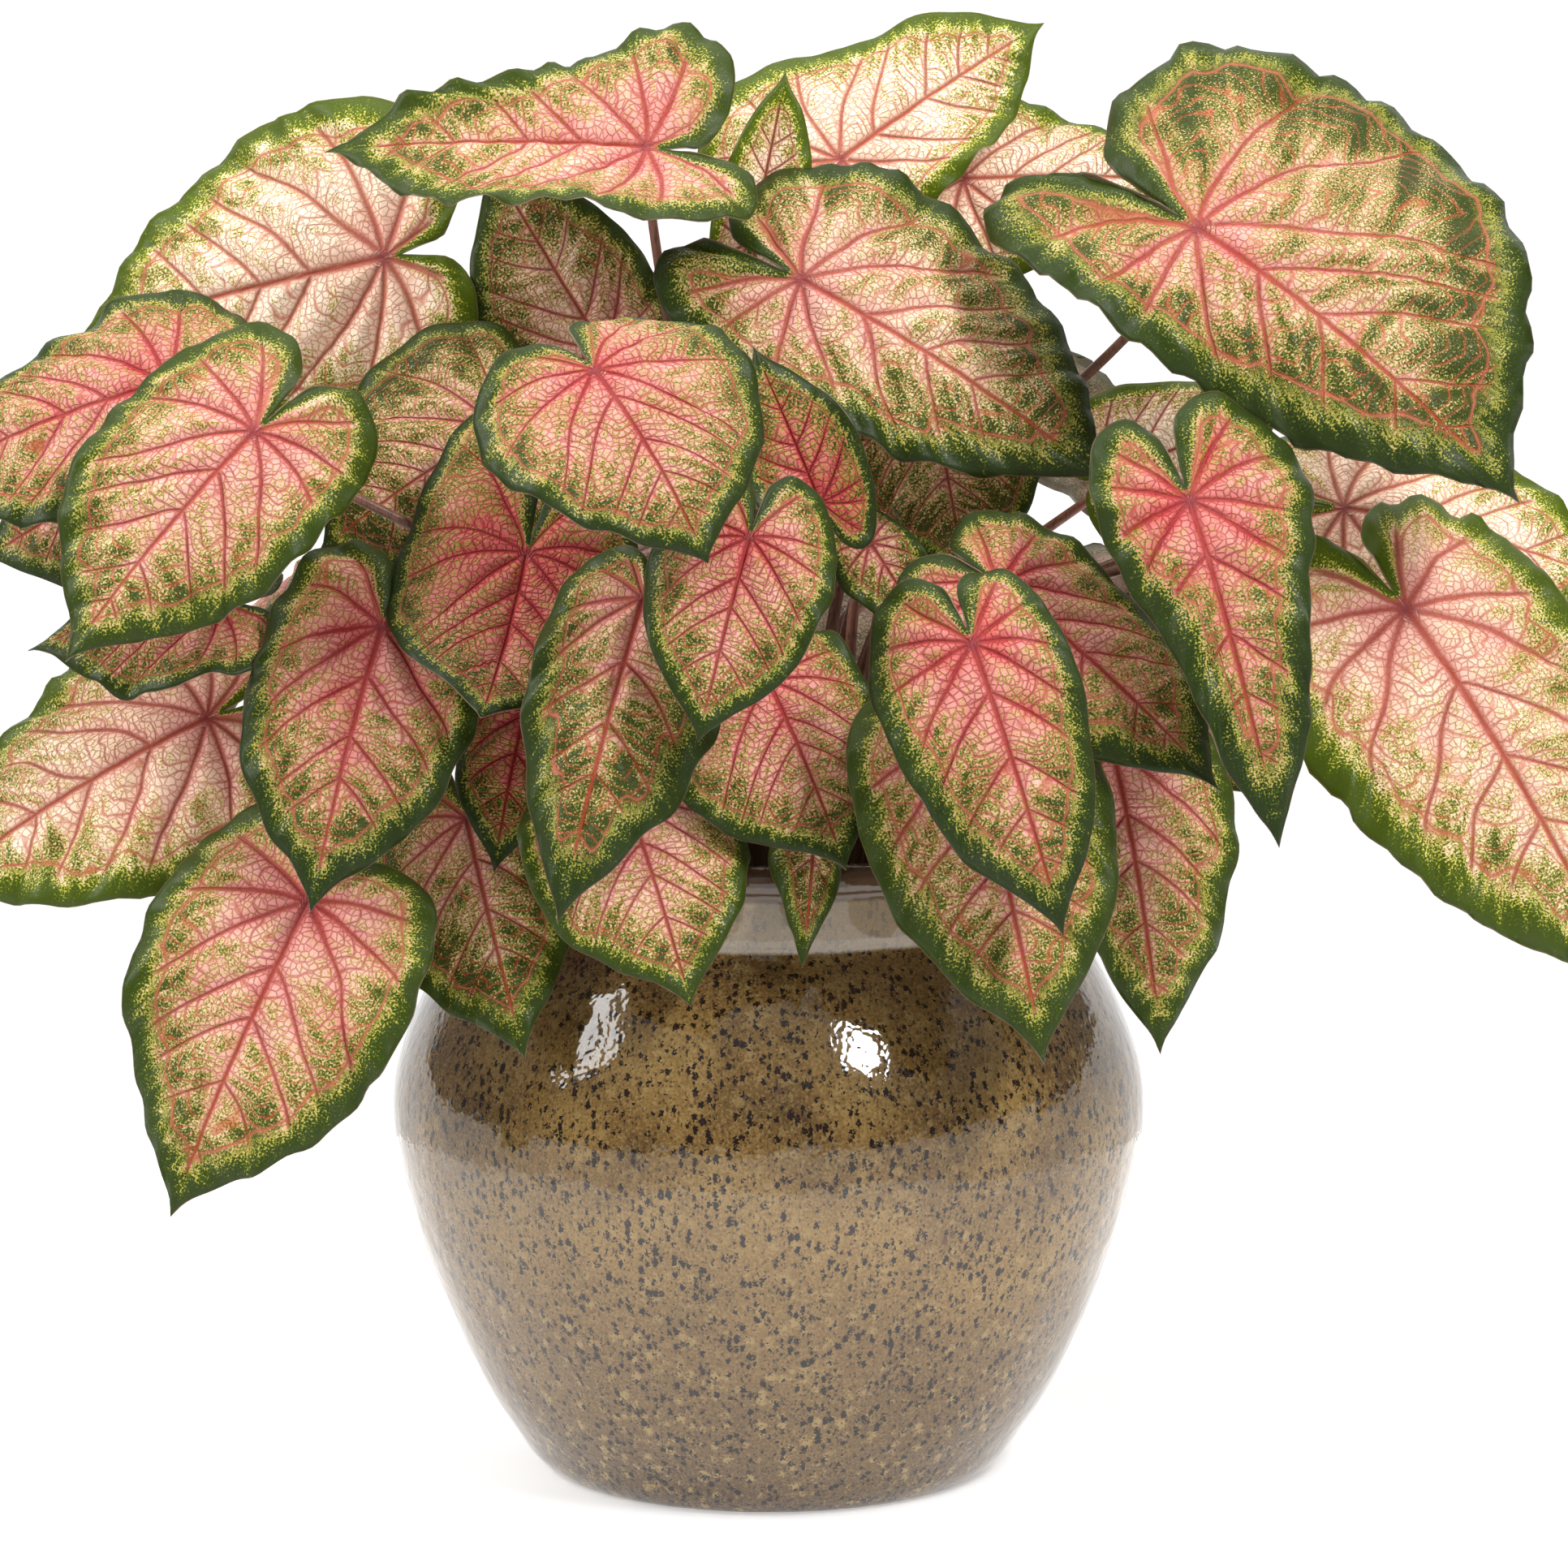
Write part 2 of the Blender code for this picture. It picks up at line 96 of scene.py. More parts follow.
def add(tree, kind, *inputs, **words):
    """Add a shader node and return its first live output.

    inputs fill its live sockets in order. Of words, those with a capital name a socket, and the others are
    the node's own properties.
    """
    new = tree.nodes.new("ShaderNode" + kind)
    for key, value in words.items():
        if key.islower():
            setattr(new, key, value)
    for socket, value in zip([socket for socket in new.inputs if socket.enabled], inputs):
        give(socket, value)
    fill(new, **{key: value for key, value in words.items() if not key.islower()})
    return next((socket for socket in new.outputs if socket.enabled), None)


def word(kind, **fixed):
    """A function that adds one kind of node to the tree that its inputs come from."""

    def added(*inputs, **words):
        tree = next(one.id_data for one in inputs if isinstance(one, bpy.types.NodeSocket))
        return add(tree, kind, *inputs, **fixed, **words)

    return added


times = word("Math", operation="MULTIPLY")
times_plus = word("Math", operation="MULTIPLY_ADD")
plus = word("Math", operation="ADD")
minus = word("Math", operation="SUBTRACT")
over = word("Math", operation="DIVIDE")
larger = word("Math", operation="MAXIMUM")
smaller = word("Math", operation="MINIMUM")
unsigned = word("Math", operation="ABSOLUTE")
rounded = word("Math", operation="ROUND")
exponent = word("Math", operation="EXPONENT")
mixed = word("Mix", data_type="RGBA")
ranged = word("MapRange")
eased = word("MapRange", interpolation_type="SMOOTHSTEP")
noise = word("TexNoise")


def total(start, *parts, clamp=False):
    """start plus each of the (output, weight) parts, kept between 0 and 1 at the end if clamp is set."""
    for number, (value, weight) in enumerate(parts, 1):
        start = times_plus(value, weight, start, use_clamp=clamp and number == len(parts))
    return start


def hill(value, width):
    """exp(-(value / width)^2): 1 at the middle of a line, falling off over its half width."""
    ratio = over(value, width)
    return exponent(times(times(ratio, ratio), -1.0))


def off_whole(value):
    """How far a value is from the nearest whole number."""
    return unsigned(minus(value, rounded(value)))


def layered(colour, *layers):
    """Lay colours over one another: each layer is its share, and a hex colour or an output."""
    for share, layer in layers:
        colour = mixed(share, colour, linear(layer) if isinstance(layer, str) else layer)
    return colour


def parts_of(vector):
    """The x, y and z of a vector output."""
    return add(vector.id_data, "SeparateXYZ", vector).node.outputs[:]


def ramp(factor, *stops):
    """A colour ramp from (place, hex colour) stops."""
    colour = add(factor.id_data, "ValToRGB", factor)
    elements = colour.node.color_ramp.elements
    elements.remove(elements[1])
    elements[0].position = stops[0][0]
    elements[0].color = linear(stops[0][1])
    for place, code in stops[1:]:
        elements.new(place).color = linear(code)
    return colour


def bumped(height, strength, deep):
    """A normal moved by a height that stands for deep millimetres."""
    return add(height.id_data, "Bump", Strength=strength, Distance=deep * MM, Height=height)


def object_place(tree):
    """The place on the object, in metres."""
    return add(tree, "TexCoord").node.outputs["Object"]


def new_material(name):
    """An empty Principled material: (material, tree, its Principled node)."""
    material = bpy.data.materials.new(name)
    material.use_nodes = True
    return material, material.node_tree, material.node_tree.nodes["Principled BSDF"]


# %% Meshes
def new_object(name, data):
    """A new object in the scene, at the origin."""
    made = bpy.data.objects.new(name, data)
    bpy.context.scene.collection.objects.link(made)
    return made


def make_piece(name, points, faces, materials, which=None, values=None):
    """A smooth mesh object from points in millimetres, with named vectors on its points.

    A row of faces whose first and last point are the same is a triangle.
    """
    mesh = bpy.data.meshes.new(name)
    corners = [row[:3] if row[0] == row[3] else row for row in faces.tolist()]
    mesh.from_pydata((points * MM).tolist(), [], corners)
    mesh.polygons.foreach_set("use_smooth", np.ones(len(faces), bool))
    for material in materials:
        mesh.materials.append(material)
    if which is not None:
        mesh.polygons.foreach_set("material_index", which.astype(np.int32))
    for key, array in (values or {}).items():
        stored = mesh.attributes.new(key, "FLOAT_VECTOR", "POINT")
        stored.data.foreach_set("vector", array.astype(np.float32).ravel())
    piece = new_object(name, mesh)
    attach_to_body(piece, "root")
    return piece


# %% [markdown]
# ## Where the leaves are
#
# A caladium sends each leaf up from the soil on a stalk of its own. The list below repeats the frame's
# leaves: where stalk and blade meet, where the tip is, which way the upper side looks, and how the blade is
# bent. A word in the row is the leaf's colouring, rose where there is none. Leaves that light shines through
# look cream, those lit from the front look rose, and the older ones turn olive and green. The colouring's
# light number paints that backlight onto a blade: paler, less red colour and a glow.

# %% The leaves
def leaf(attach, tip, face, width, look="rose", **shape):
    """One leaf in millimetres and degrees. face is (turn, rise): turn 0 looks to the front, 90 to +X."""
    plain = dict(bow=12, sides=(-6, -6), curl=(-10, -10), lobes=(1, 1), halves=(1, 1), wave=5.5,
                 waist=(0, 0), lean=(0, 0), lift=0, reach=32)
    return {**plain, **shape, "attach": attach, "tip": tip, "face": face, "width": width, "look": look}


LEAVES = [
    # The crown, from left to right
    leaf((-153, 34, 483), (-280, 91, 446), (-28, 14), 0.92, "cream", bow=8, sides=(-4, -4), lobes=(0.7, 0.75),
         halves=(1.12, 0.95), lean=(0, 30)),
    leaf((-48, -5, 530), (-175, 12, 527), (-10, 58), 0.95, "blush", bow=6, sides=(20, 4), curl=(-6, 14),
         halves=(1.15, 1), wave=5, lobes=(0.7, 1.1), waist=(0.5, 0)),
    leaf((29, 70, 519), (112, 111, 571), (0, 38), 1.2, "cream", bow=6, sides=(2, 2), wave=7, halves=(0.65, 1),
         lobes=(0.6, 1.35), waist=(0, 0.3)),
    leaf((-7, 20, 491), (7, 32, 558), (10, 8), 0.6, "cream", bow=6, sides=(12, 30), wave=2),
    leaf((79, 84, 510), (176, 92, 508), (6, 44), 0.96, "cream", bow=6),
    leaf((166, -55, 503), (289, -86, 400), (14, 30), 0.96, "olive", bow=14, wave=11, lobes=(1.6, 1.3),
         halves=(0.8, 1.66), waist=(0.2, 0), sides=(-4, -8), reach=60, lean=(0, 88)),
    leaf((-65, 18, 448), (-112, 32, 524), (-10, 4), 0.9, "straw", bow=4, sides=(4, 4), lobes=(0.35, 0.35),
         halves=(0.85, 1), reach=20, lean=(4, -10)),
    leaf((13, -25, 480), (134, -45, 402), (14, 32), 0.86, "straw", bow=10, lobes=(1.15, 0.95),
         halves=(0.8, 1.16), wave=6),
    # The left side, from the top down
    leaf((-236, -25, 439), (-339, -5, 394), (-30, 38), 0.98, bow=14, lean=(0, 22)),
    leaf((-198, -75, 426), (-270, -99, 340), (-12, 24), 0.92, "blush", lobes=(1.1, 1.1),
         halves=(1.12, 0.95), wave=6, lean=(0, -25)),
    leaf((-236, 12, 407), (-314, 29, 362), (-24, 20), 1.05, bow=10),
    leaf((-107, -18, 420), (-177, -16, 372), (-16, 20), 1.2, "olive", halves=(1.2, 1)),
    leaf((-215, -46, 355), (-290, -42, 336), (-25, 55), 1.1),
    leaf((-221, -28, 307), (-333, -27, 236), (-24, 32), 0.9, "pale", halves=(1.1, 1)),
    leaf((-149, -81, 351), (-175, -124, 247), (-8, 24), 0.84, bow=14, halves=(1.05, 1)),
    leaf((-177, -102, 247), (-231, -118, 126), (-16, 14), 0.92, "blush", lobes=(0.75, 0.6), wave=6,
         sides=(-4, 2), curl=(-8, 0), reach=55, lean=(-15, 50)),
    # The middle of the front
    leaf((-93, -78, 379), (-109, -134, 324), (0, 45), 1.2, "deep", bow=-20, sides=(6, 6), curl=(-26, -26),
         lobes=(2.5, 1.2), halves=(1.12, 1)),
    leaf((-65, -140, 457), (-22, -186, 390), (10, 38), 1.2, bow=18, wave=6, lobes=(0.9, 1.3),
         halves=(1, 1.08)),
    leaf((-47, -136, 370), (-79, -176, 252), (-6, 20), 0.56, "olive", lobes=(0.5, 0.5), sides=(-14, -14),
         halves=(1.1, 1.2), lean=(-25, 0)),
    leaf((-7, -150, 395), (-26, -187, 323), (0, 27), 0.9, lobes=(1.2, 1.2), lean=(-14, 10)),
    leaf((20, -70, 398), (-6, -62, 458), (6, 10), 0.75, "deep", bow=8, sides=(10, 4), lean=(0, 8)),
    leaf((65, 4, 428), (78, -24, 358), (4, 22), 1.15, "olive", bow=14),
    leaf((40, -41, 378), (64, -47, 339), (10, 20), 0.78, "olive", bow=10),
    leaf((0, -90, 331), (30, -134, 265), (8, 36), 0.96, halves=(1.35, 1), lean=(8, -8), lift=-50),
    leaf((-92, -64, 326), (-106, -94, 257), (-10, 25), 0.72, "deep", sides=(2, 2)),
    leaf((-117, -76, 275), (-93, -127, 190), (-10, 28), 0.72, "green", halves=(1.35, 1), sides=(-11, -6)),
    leaf((-53, -109, 286), (-29, -150, 215), (0, 30), 0.86, "blush", bow=14, halves=(1.3, 1.15),
         sides=(-2, -6), curl=(-4, -10)),
    leaf((18, -109, 287), (13, -139, 228), (20, 24), 0.5, "green", bow=10, sides=(-25, -25),
         lobes=(0.5, 0.5)),
    # The right side
    leaf((77, -160, 356), (111, -191, 250), (6, 18), 0.66, bow=14, lobes=(0.9, 0.9), sides=(-10, -10),
         halves=(1.15, 1), lean=(4, 0)),
    leaf((77, -119, 317), (105, -156, 194), (6, 18), 0.8, "blush", bow=14, lobes=(0.65, 0.65), lean=(8, 0),
         lift=-40),
    leaf((134, -70, 301), (152, -103, 187), (14, 18), 0.6, "blush", bow=14, halves=(0.9, 1.35)),
    leaf((90, -92, 368), (173, -127, 294), (14, 36), 0.86, halves=(0.75, 0.95), sides=(-6, -12)),
    leaf((160, -127, 406), (193, -164, 279), (8, 18), 0.7, bow=16, waist=(0.4, 0.4), lobes=(0.95, 1),
         halves=(0.85, 1.2), lift=40, reach=100),
    leaf((250, -40, 352), (336, -83, 205), (16, 24), 0.76, "pale", bow=14, lobes=(0.85, 0.85),
         halves=(1.05, 1), wave=5),
    leaf((230, 20, 384), (350, 24, 348), (20, 46), 0.9, "cream"),
    leaf((258, 24, 346), (226, 38, 371), (0, 30), 0.8, "cream", bow=6, lobes=(0.8, 0.8)),
    leaf((136, 2, 400), (206, 14, 426), (0, 24), 0.95, "cream", bow=4, lobes=(0.6, 0.6)),
    leaf((166, -14, 303), (197, -14, 273), (20, 20), 0.8, "green", bow=10, lean=(0, -20), lift=-30),
    # The back
    leaf((0, 120, 430), (-22, 199, 336), (180, 40), 0.95, bow=14),
    leaf((85, 115, 440), (152, 179, 349), (145, 45), 0.9, "blush"),
    leaf((-92, 100, 415), (-151, 162, 331), (-145, 45), 0.92, bow=14),
    leaf((200, 88, 386), (277, 119, 286), (112, 40), 0.9, "olive", bow=14),
    leaf((-192, 62, 352), (-254, 93, 254), (-106, 35), 0.9, "blush", bow=14),
    leaf((55, 165, 350), (58, 219, 237), (165, 25), 0.86, bow=14),
    leaf((-60, 165, 345), (-58, 223, 240), (-165, 28), 0.88, "blush", bow=14),
    leaf((140, 150, 332), (179, 185, 219), (132, 25), 0.86, bow=14),
    leaf((-150, 140, 325), (-195, 169, 212), (-132, 25), 0.86, "olive", bow=14),
    leaf((200, 90, 348), (275, 130, 271), (118, 48), 0.86),
    leaf((-170, 95, 300), (-221, 116, 205), (-112, 30), 0.86),
    leaf((70, 140, 285), (96, 172, 178), (158, 20), 0.8, "green", bow=14),
    leaf((-75, 140, 280), (-104, 169, 173), (-152, 20), 0.8, bow=14),
]

# Colouring as (pink, green, light), each from 0 to about 1. light is painted backlight: a blade is painted
# paler and less red and given a glow, as if daylight shone through it
LOOKS = {
    "rose": (0.76, 0.46, 0.15),
    # deep is darker red with no painted backlight: partly painted shade, for leaves inside the crown
    "deep": (1.05, 0.44, 0.00),
    "blush": (0.58, 0.48, 0.40),
    "pale": (0.36, 0.20, 0.80),
    "straw": (0.30, 0.60, 0.12),
    "cream": (0.18, 0.17, 1.00),
    "olive": (0.46, 0.96, 0.20),
    "green": (0.42, 0.95, 0.35),
}
print(f"{len(LEAVES)} leaves in {len(LOOKS)} colourings")


# %% [markdown]
# ## The shape of a blade
#
# Half a blade's outline is a smooth curve from the notch behind the stalk to the tip. A blade is a fan: one
# parameter runs round the outline and the other from the stalk to the margin. That keeps the margin crisp
# and lets every vein start where the stalk meets the blade.

# %% Outline and frame of a blade
NOTCH = (-0.05, 0.0)
OUTLINE = [
    NOTCH, (-0.15, 0.014), (-0.26, 0.045), (-0.33, 0.17), (-0.28, 0.33), (-0.08, 0.445),
    (0.14, 0.48), (0.36, 0.46), (0.57, 0.38), (0.74, 0.25), (0.87, 0.105), (0.95, 0.028), (1.0, 0.0),
]
HALF_WIDTH = 0.48
WAVES = 2
DROOP = math.radians(15.0)


def unit(directions):
    """The same directions with length 1."""
    directions = np.asarray(directions, float)
    return directions / np.linalg.norm(directions, axis=-1, keepdims=True)


def vectors(*parts):
    """Numbers or arrays side by side in a last axis."""
    return np.stack(np.broadcast_arrays(*parts), -1)


def faces_of(*corners):
    """Faces from arrays of their four corners' numbers. A triangle's first corner is its last again."""
    return vectors(*corners).reshape(-1, 4)


def circle(sides):
    """The x and y of points evenly round a circle of radius 1."""
    turn = np.linspace(0, 2 * np.pi, sides, endpoint=False)
    return np.cos(turn), np.sin(turn)


def travelled_along(points):
    """How far each of the points is along the line through them."""
    return np.concatenate([[0], np.cumsum(np.linalg.norm(np.diff(points, axis=0), axis=1))])


def smooth_line(points, steps):
    """A Catmull-Rom curve through the points, read at steps + 1 places an equal length apart."""
    points = np.asarray(points, float)
    ends = [2 * points[0] - points[1], 2 * points[-1] - points[-2]]
    knots = np.vstack([ends[:1], points, ends[1:]])
    share = np.linspace(0, 1, 24, endpoint=False)[:, None]
    fine = []
    for a, b, c, d in zip(knots, knots[1:], knots[2:], knots[3:]):
        bend = (2 * a - 5 * b + 4 * c - d) * share**2 + (3 * b - a - 3 * c + d) * share**3
        fine.append(0.5 * (2 * b + (c - a) * share + bend))
    fine = np.vstack([*fine, points[-1:]])
    travelled = travelled_along(fine)
    stops = np.linspace(0, travelled[-1], steps + 1)
    return vectors(*(np.interp(stops, travelled, values) for values in fine.T))


def leaf_frame(one):
    """Stem point, directions along the midrib, to the right and upward, midrib length and half its bend."""
    attach = np.array(one["attach"], float)
    chord = np.array(one["tip"], float) - attach
    turn, rise = np.radians(one["face"])
    look = np.array([math.sin(turn) * math.cos(rise), -math.cos(turn) * math.cos(rise), math.sin(rise)])
    along = unit(chord)
    upper = unit(look - (look @ along) * along)
    bow = math.radians(one["bow"])
    length = np.linalg.norm(chord) * bow / math.sin(bow)
    return attach, along, np.cross(upper, along), upper, length, bow


def half_outline(one, side, steps):
    """The outline of the left (0) or right (1) half in millimetres, from the notch to the tip."""
    points = np.array(OUTLINE)
    points[:, 0] = np.where(points[:, 0] < 0, points[:, 0] * one["lobes"][side], points[:, 0])
    pinch = 1 - one["waist"][side] * np.sin(np.pi * np.clip(points[:, 0], 0, 1))
    points[:, 1] *= one["width"] * one["halves"][side] * pinch
    points[0] = NOTCH
    return smooth_line(points, steps) * leaf_frame(one)[4]


def along_arc(turning, start, distance):
    """How far an arc that starts at an angle has run forward and left its line after a distance."""
    turning = np.where(np.abs(turning) < 1e-9, 1e-9, turning)
    angle = start + turning * distance
    return (np.sin(angle) - np.sin(start)) / turning, (np.cos(start) - np.cos(angle)) / turning


# %% [markdown]
# ## Veins as coordinates
#
# A shader draws fine veins if the leaf carries a vein coordinate: a number that is 0 on the side vein that
# leaves the stalk, 1, 2, 3 on those that leave the midrib further ahead, and -1, -2, -3 on those that fan
# out into the lobe. Side veins start away from the midrib and curve towards the tip. Beside the coordinate
# the leaf stores how many millimetres one step of it is, so a vein keeps its real width. The midrib is where
# the distance from the leaf's middle line is 0.

# %% Vein coordinate
VEIN_SPACING = 0.19
VEIN_FAN = math.radians(33.0)
VEIN_START = 0.72
VEIN_CURVE = 1.25
LONGEST_STEP = 90.0
SLOPE_STEP = 0.05


def vein_step(along, out, length, number):
    """Where a side vein through this place meets the midrib, or its angle round the stalk.

    A side vein runs as along = start + VEIN_START out + VEIN_CURVE out^2 / length, and step is start divided
    by VEIN_SPACING length. Behind the first one, step is minus the angle past it divided by VEIN_FAN.
    """
    ahead = VEIN_START + VEIN_CURVE * out / length
    start = along - ahead * out
    first = np.arctan2(1.0, ahead)
    past = np.arctan2(out, along) - first
    step = np.where(start > 0, start / (VEIN_SPACING * length), -past / VEIN_FAN)
    return step + 0.14 * np.sin(2.4 * step + 1.7 * number) * np.clip(np.abs(step), 0, 1)


def vein_values(along, out, length, number):
    """The vein coordinate, millimetres per step of it, and the distance from the stalk."""

    def at(ahead, aside):
        return vein_step(ahead, np.abs(aside), length, number)

    slope_along = at(along + SLOPE_STEP, out) - at(along - SLOPE_STEP, out)
    slope_out = at(along, out + SLOPE_STEP) - at(along, out - SLOPE_STEP)
    steepness = np.hypot(slope_along, slope_out) / (2 * SLOPE_STEP)
    return at(along, out), 1 / np.maximum(steepness, 1 / LONGEST_STEP), np.hypot(along, out)


def margin_distance(along, out, margin):
    """The distance of flat places from the nearest straight piece of the outline."""
    start, run = margin[:-1], np.diff(margin, axis=0)
    places = vectors(along, out)[..., None, :]
    share = ((places - start) * run).sum(-1) / np.maximum((run**2).sum(-1), 1e-9)
    nearest = start + np.clip(share, 0, 1)[..., None] * run
    return np.linalg.norm(places - nearest, axis=-1).min(axis=-1)


# %% [markdown]
# ## Bending and thickening a blade
#
# A living blade is under a millimetre thick. It droops along its midrib, its halves roll, its margin
# ruffles, and between the veins it swells like a quilt. Its two faces are worked out together, so that each
# can carry its own values: the lower one is paler.

# %% Blade surface
BLADE = 0.75
INSIDE_LOW = np.array(cad_low) / MM + BLADE / 2
INSIDE_HIGH = np.array(cad_high) / MM - BLADE / 2
NORMAL_LEAF = 130.0
QUILT = 3.2
CRIMP = 3.2
BAND_WIDTH = 12.0
# A blade's halves read their noise this far apart
OTHER_HALF = 60.0


def calm_ends(around):
    """1 halfway round a half and 0 at the notch and the tip, where the margin lies calm."""
    return np.sin(np.pi * np.clip(around, 0, 1)) ** 0.7


def bend_blade(one, number, along, out, side, around, outward, lift):
    """Carry flat leaf places to space.

    The midrib is an arc of half-angle bow, the lobes bend back by DROOP, each half tilts by sides and rolls
    by curl, and the margin ruffles as wave * outward^2.5 * sin(2 pi WAVES around + phase). lift is added.
    """
    attach, ahead, across, upper, length, bow = leaf_frame(one)
    lobe = -min(point[0] for point in OUTLINE) * length
    turning = np.where(along >= 0, -2 * bow / length, -DROOP / lobe)
    forward, rise = along_arc(turning, bow, along)
    angle = bow + turning * along
    half = (side > 0).astype(int)
    tilt, roll = np.radians(one["sides"])[half], np.radians(one["curl"])[half]
    width, lifted = along_arc(roll / (HALF_WIDTH * one["width"] * length), tilt, out)
    phase = 2.4 * number + 2.3 * half
    ruffle = one["wave"] * outward**2.5 * np.sin(2 * np.pi * WAVES * around + phase)
    lifted = lifted + calm_ends(around) * ruffle + lift
    raised = -np.sin(angle)[..., None] * ahead + np.cos(angle)[..., None] * upper
    flat = attach + forward[..., None] * ahead + rise[..., None] * upper
    return flat + (side * width)[..., None] * across + lifted[..., None] * raised


def soft_noise(x, y, size, seed):
    """Smooth noise from about -1 to 1: six sine waves in random directions, about size millimetres long."""
    rng = np.random.default_rng(seed)
    turn, phase = rng.uniform(0, 2 * np.pi, (2, 6))
    pitch = 2 * np.pi / (size * rng.uniform(0.8, 1.6, 6))
    waves = np.sin(pitch * (x[..., None] * np.cos(turn) + y[..., None] * np.sin(turn)) + phase)
    return waves.sum(axis=-1) / 3


def blade_grid(one, number, half, rows):
    """Middle surface of a blade on a (rows + 1, 2 half + 1) grid, with the values that its shader reads."""
    length = leaf_frame(one)[4]
    size = np.clip(length / NORMAL_LEAF, 0.5, 1.25)
    broad = np.clip((length / NORMAL_LEAF) ** 1.2, 0.5, 1.6)
    seed = 5 * number

    # The flat blade: side is -1 or 1, around runs from notch to tip, and outward from the stalk to the margin
    left, right = half_outline(one, 0, half), half_outline(one, 1, half)
    column = np.arange(2 * half + 1)
    side = np.where(column > half, 1.0, -1.0)
    around = np.where(column > half, 2 * half - column, column) / half
    calm = calm_ends(around)
    walked = around * travelled_along(left)[-1]
    uneven = soft_noise(walked, OTHER_HALF * side, 24.0, seed + 5)
    margin = np.vstack([left, right[-2::-1]]) * (1 + 0.018 * calm * uneven)[:, None]
    outward = np.linspace(0, 1, rows + 1)[:, None] ** 0.9
    along, out = outward * margin[:, 0], outward * margin[:, 1]
    across = side * out
    walked = np.broadcast_to(walked, along.shape)
    rim = np.empty_like(along)
    for part in (column <= half, column > half):
        rim[:, part] = margin_distance(along[:, part], out[:, part], margin[part])

    # Veins, a little unevenly spaced
    step, per_step, distance = vein_values(along, out, length, number)
    step = step + 0.07 * soft_noise(along, across, 40.0, seed) * np.clip(distance / 25, 0, 1)
    midrib = np.where(along > -0.01, out, 99.0)
    vein_gap = np.minimum(np.abs(step - np.rint(step)) * per_step, midrib)

    # Relief: swellings between the veins, soft dents, and crimps of two sizes at the margin
    quilt = QUILT * (1 - np.exp(-((vein_gap / (4.5 * size)) ** 2))) * np.clip(rim / 8, 0, 1)
    quilt = quilt * np.clip(distance / (12 * size), 0, 1)
    dents = 0.5 * soft_noise(along, across, 11.0, seed + 1) * np.clip(distance / 20, 0, 1)
    crimps = outward**4 * soft_noise(walked, OTHER_HALF * side, 20.0, number + 700)
    crimps = crimps + 0.4 * outward**7 * soft_noise(walked, OTHER_HALF * side, 13.0, number + 800)
    relief = size * (quilt + dents + CRIMP * calm * crimps)
    places = bend_blade(one, number, along, out, side, around, outward, relief)
    places = np.clip(places, INSIDE_LOW, INSIDE_HIGH)

    # Colouring: redder near the stalk, greener towards the tip, and more painted backlight higher up
    reach = distance / length - 0.45
    pink, green, light = LOOKS[one["look"]]
    pink = pink - 0.42 * reach + 0.10 * soft_noise(along, across, 30.0, seed + 2)
    green = green + 0.55 * reach + 0.20 * soft_noise(along, across, 22.0, seed + 3)
    light = light + 0.0016 * (places[..., 2] - one["attach"][2])
    width = BAND_WIDTH + 2.0 * soft_noise(walked, across * 0.3, 26.0, seed + 4)
    width = width * (1 - 0.84 * np.exp(-((distance / (26 * size)) ** 2)))
    shift = 2.3 * soft_noise(along, across, 13.0, number + 900)
    strength = np.clip(0.85 + 0.4 * soft_noise(along, across, 24.0, number + 990), 0, 1)
    return places, {
        "flat": vectors(along + 331.0 * number, across, 0.0),
        "veins": vectors(step, per_step / size, distance / size),
        "edge": vectors(walked, rim / broad, 0.0),
        "look": vectors(pink, green, light),
        "growth": vectors(shift, strength, width),
        "middle": vectors(midrib / size, along / length, 0.0),
    }


def surface_normals(places):
    """Unit normals toward the upper side, from the slopes round and outward. The first row takes a mean."""
    around = np.gradient(places, axis=1)
    around[:, [0, -1]] = (places[:, 1] - places[:, -2])[:, None]
    normals = np.cross(np.gradient(places, axis=0), around)
    normals[0] = normals[1].mean(axis=0)
    return unit(normals)


# %% [markdown]
# The two faces join at the margin, the fan's last column is its first again, and its first row is one point.
# That makes a closed shell with no seam.

# %% Blade shell
# For blades longer than a length: columns round half an outline, and rows from stalk to margin
GRIDS = ((100.0, 72, 26), (60.0, 56, 20), (0.0, 40, 14))


def fan_faces(rows, columns, first):
    """Triangles of a closed fan: a point, then rings of columns points each.

    Both faces of a blade are cut along the same diagonals, or they would pierce each other where it twists.
    """
    ring = first + 1 + np.arange(rows)[:, None] * columns + np.arange(columns)
    after = np.roll(ring, -1, axis=1)
    tips = faces_of(first, ring[0], after[0], first)
    outer = faces_of(ring[:-1], ring[1:], after[1:], ring[:-1])
    inner = faces_of(ring[:-1], after[1:], after[:-1], ring[:-1])
    return np.vstack([tips, outer, inner])


def blade_shell(one, number):
    """Both faces of a blade and its margin as points, faces, and values on the points."""
    length = leaf_frame(one)[4]
    half, rows = next(grid for limit, *grid in GRIDS if length > limit)
    places, values = blade_grid(one, number, half, rows)
    thick = BLADE / 2 * (1 - 0.45 * np.linspace(0, 1, rows + 1)[:, None, None] ** 3)
    offset = thick * surface_normals(places)
    points, stored = [], {key: [] for key in values}
    for shifted in (places + offset, places - offset):
        points += [shifted[0, :1], shifted[1:, :-1].reshape(-1, 3)]
        for key, array in values.items():
            stored[key] += [array[0, :1], array[1:, :-1].reshape(-1, 3)]
    columns = 2 * half
    count = 1 + rows * columns
    upper = fan_faces(rows, columns, 0)
    lower = fan_faces(rows, columns, count)[:, ::-1]
    rim = 1 + (rows - 1) * columns + np.arange(columns)
    band = faces_of(rim, rim + count, np.roll(rim, -1) + count, np.roll(rim, -1))
    stored = {key: np.vstack(arrays) for key, arrays in stored.items()}
    stored["edge"][count:, 2] = 1.0
    return np.vstack(points), np.vstack([upper, lower, band]), stored


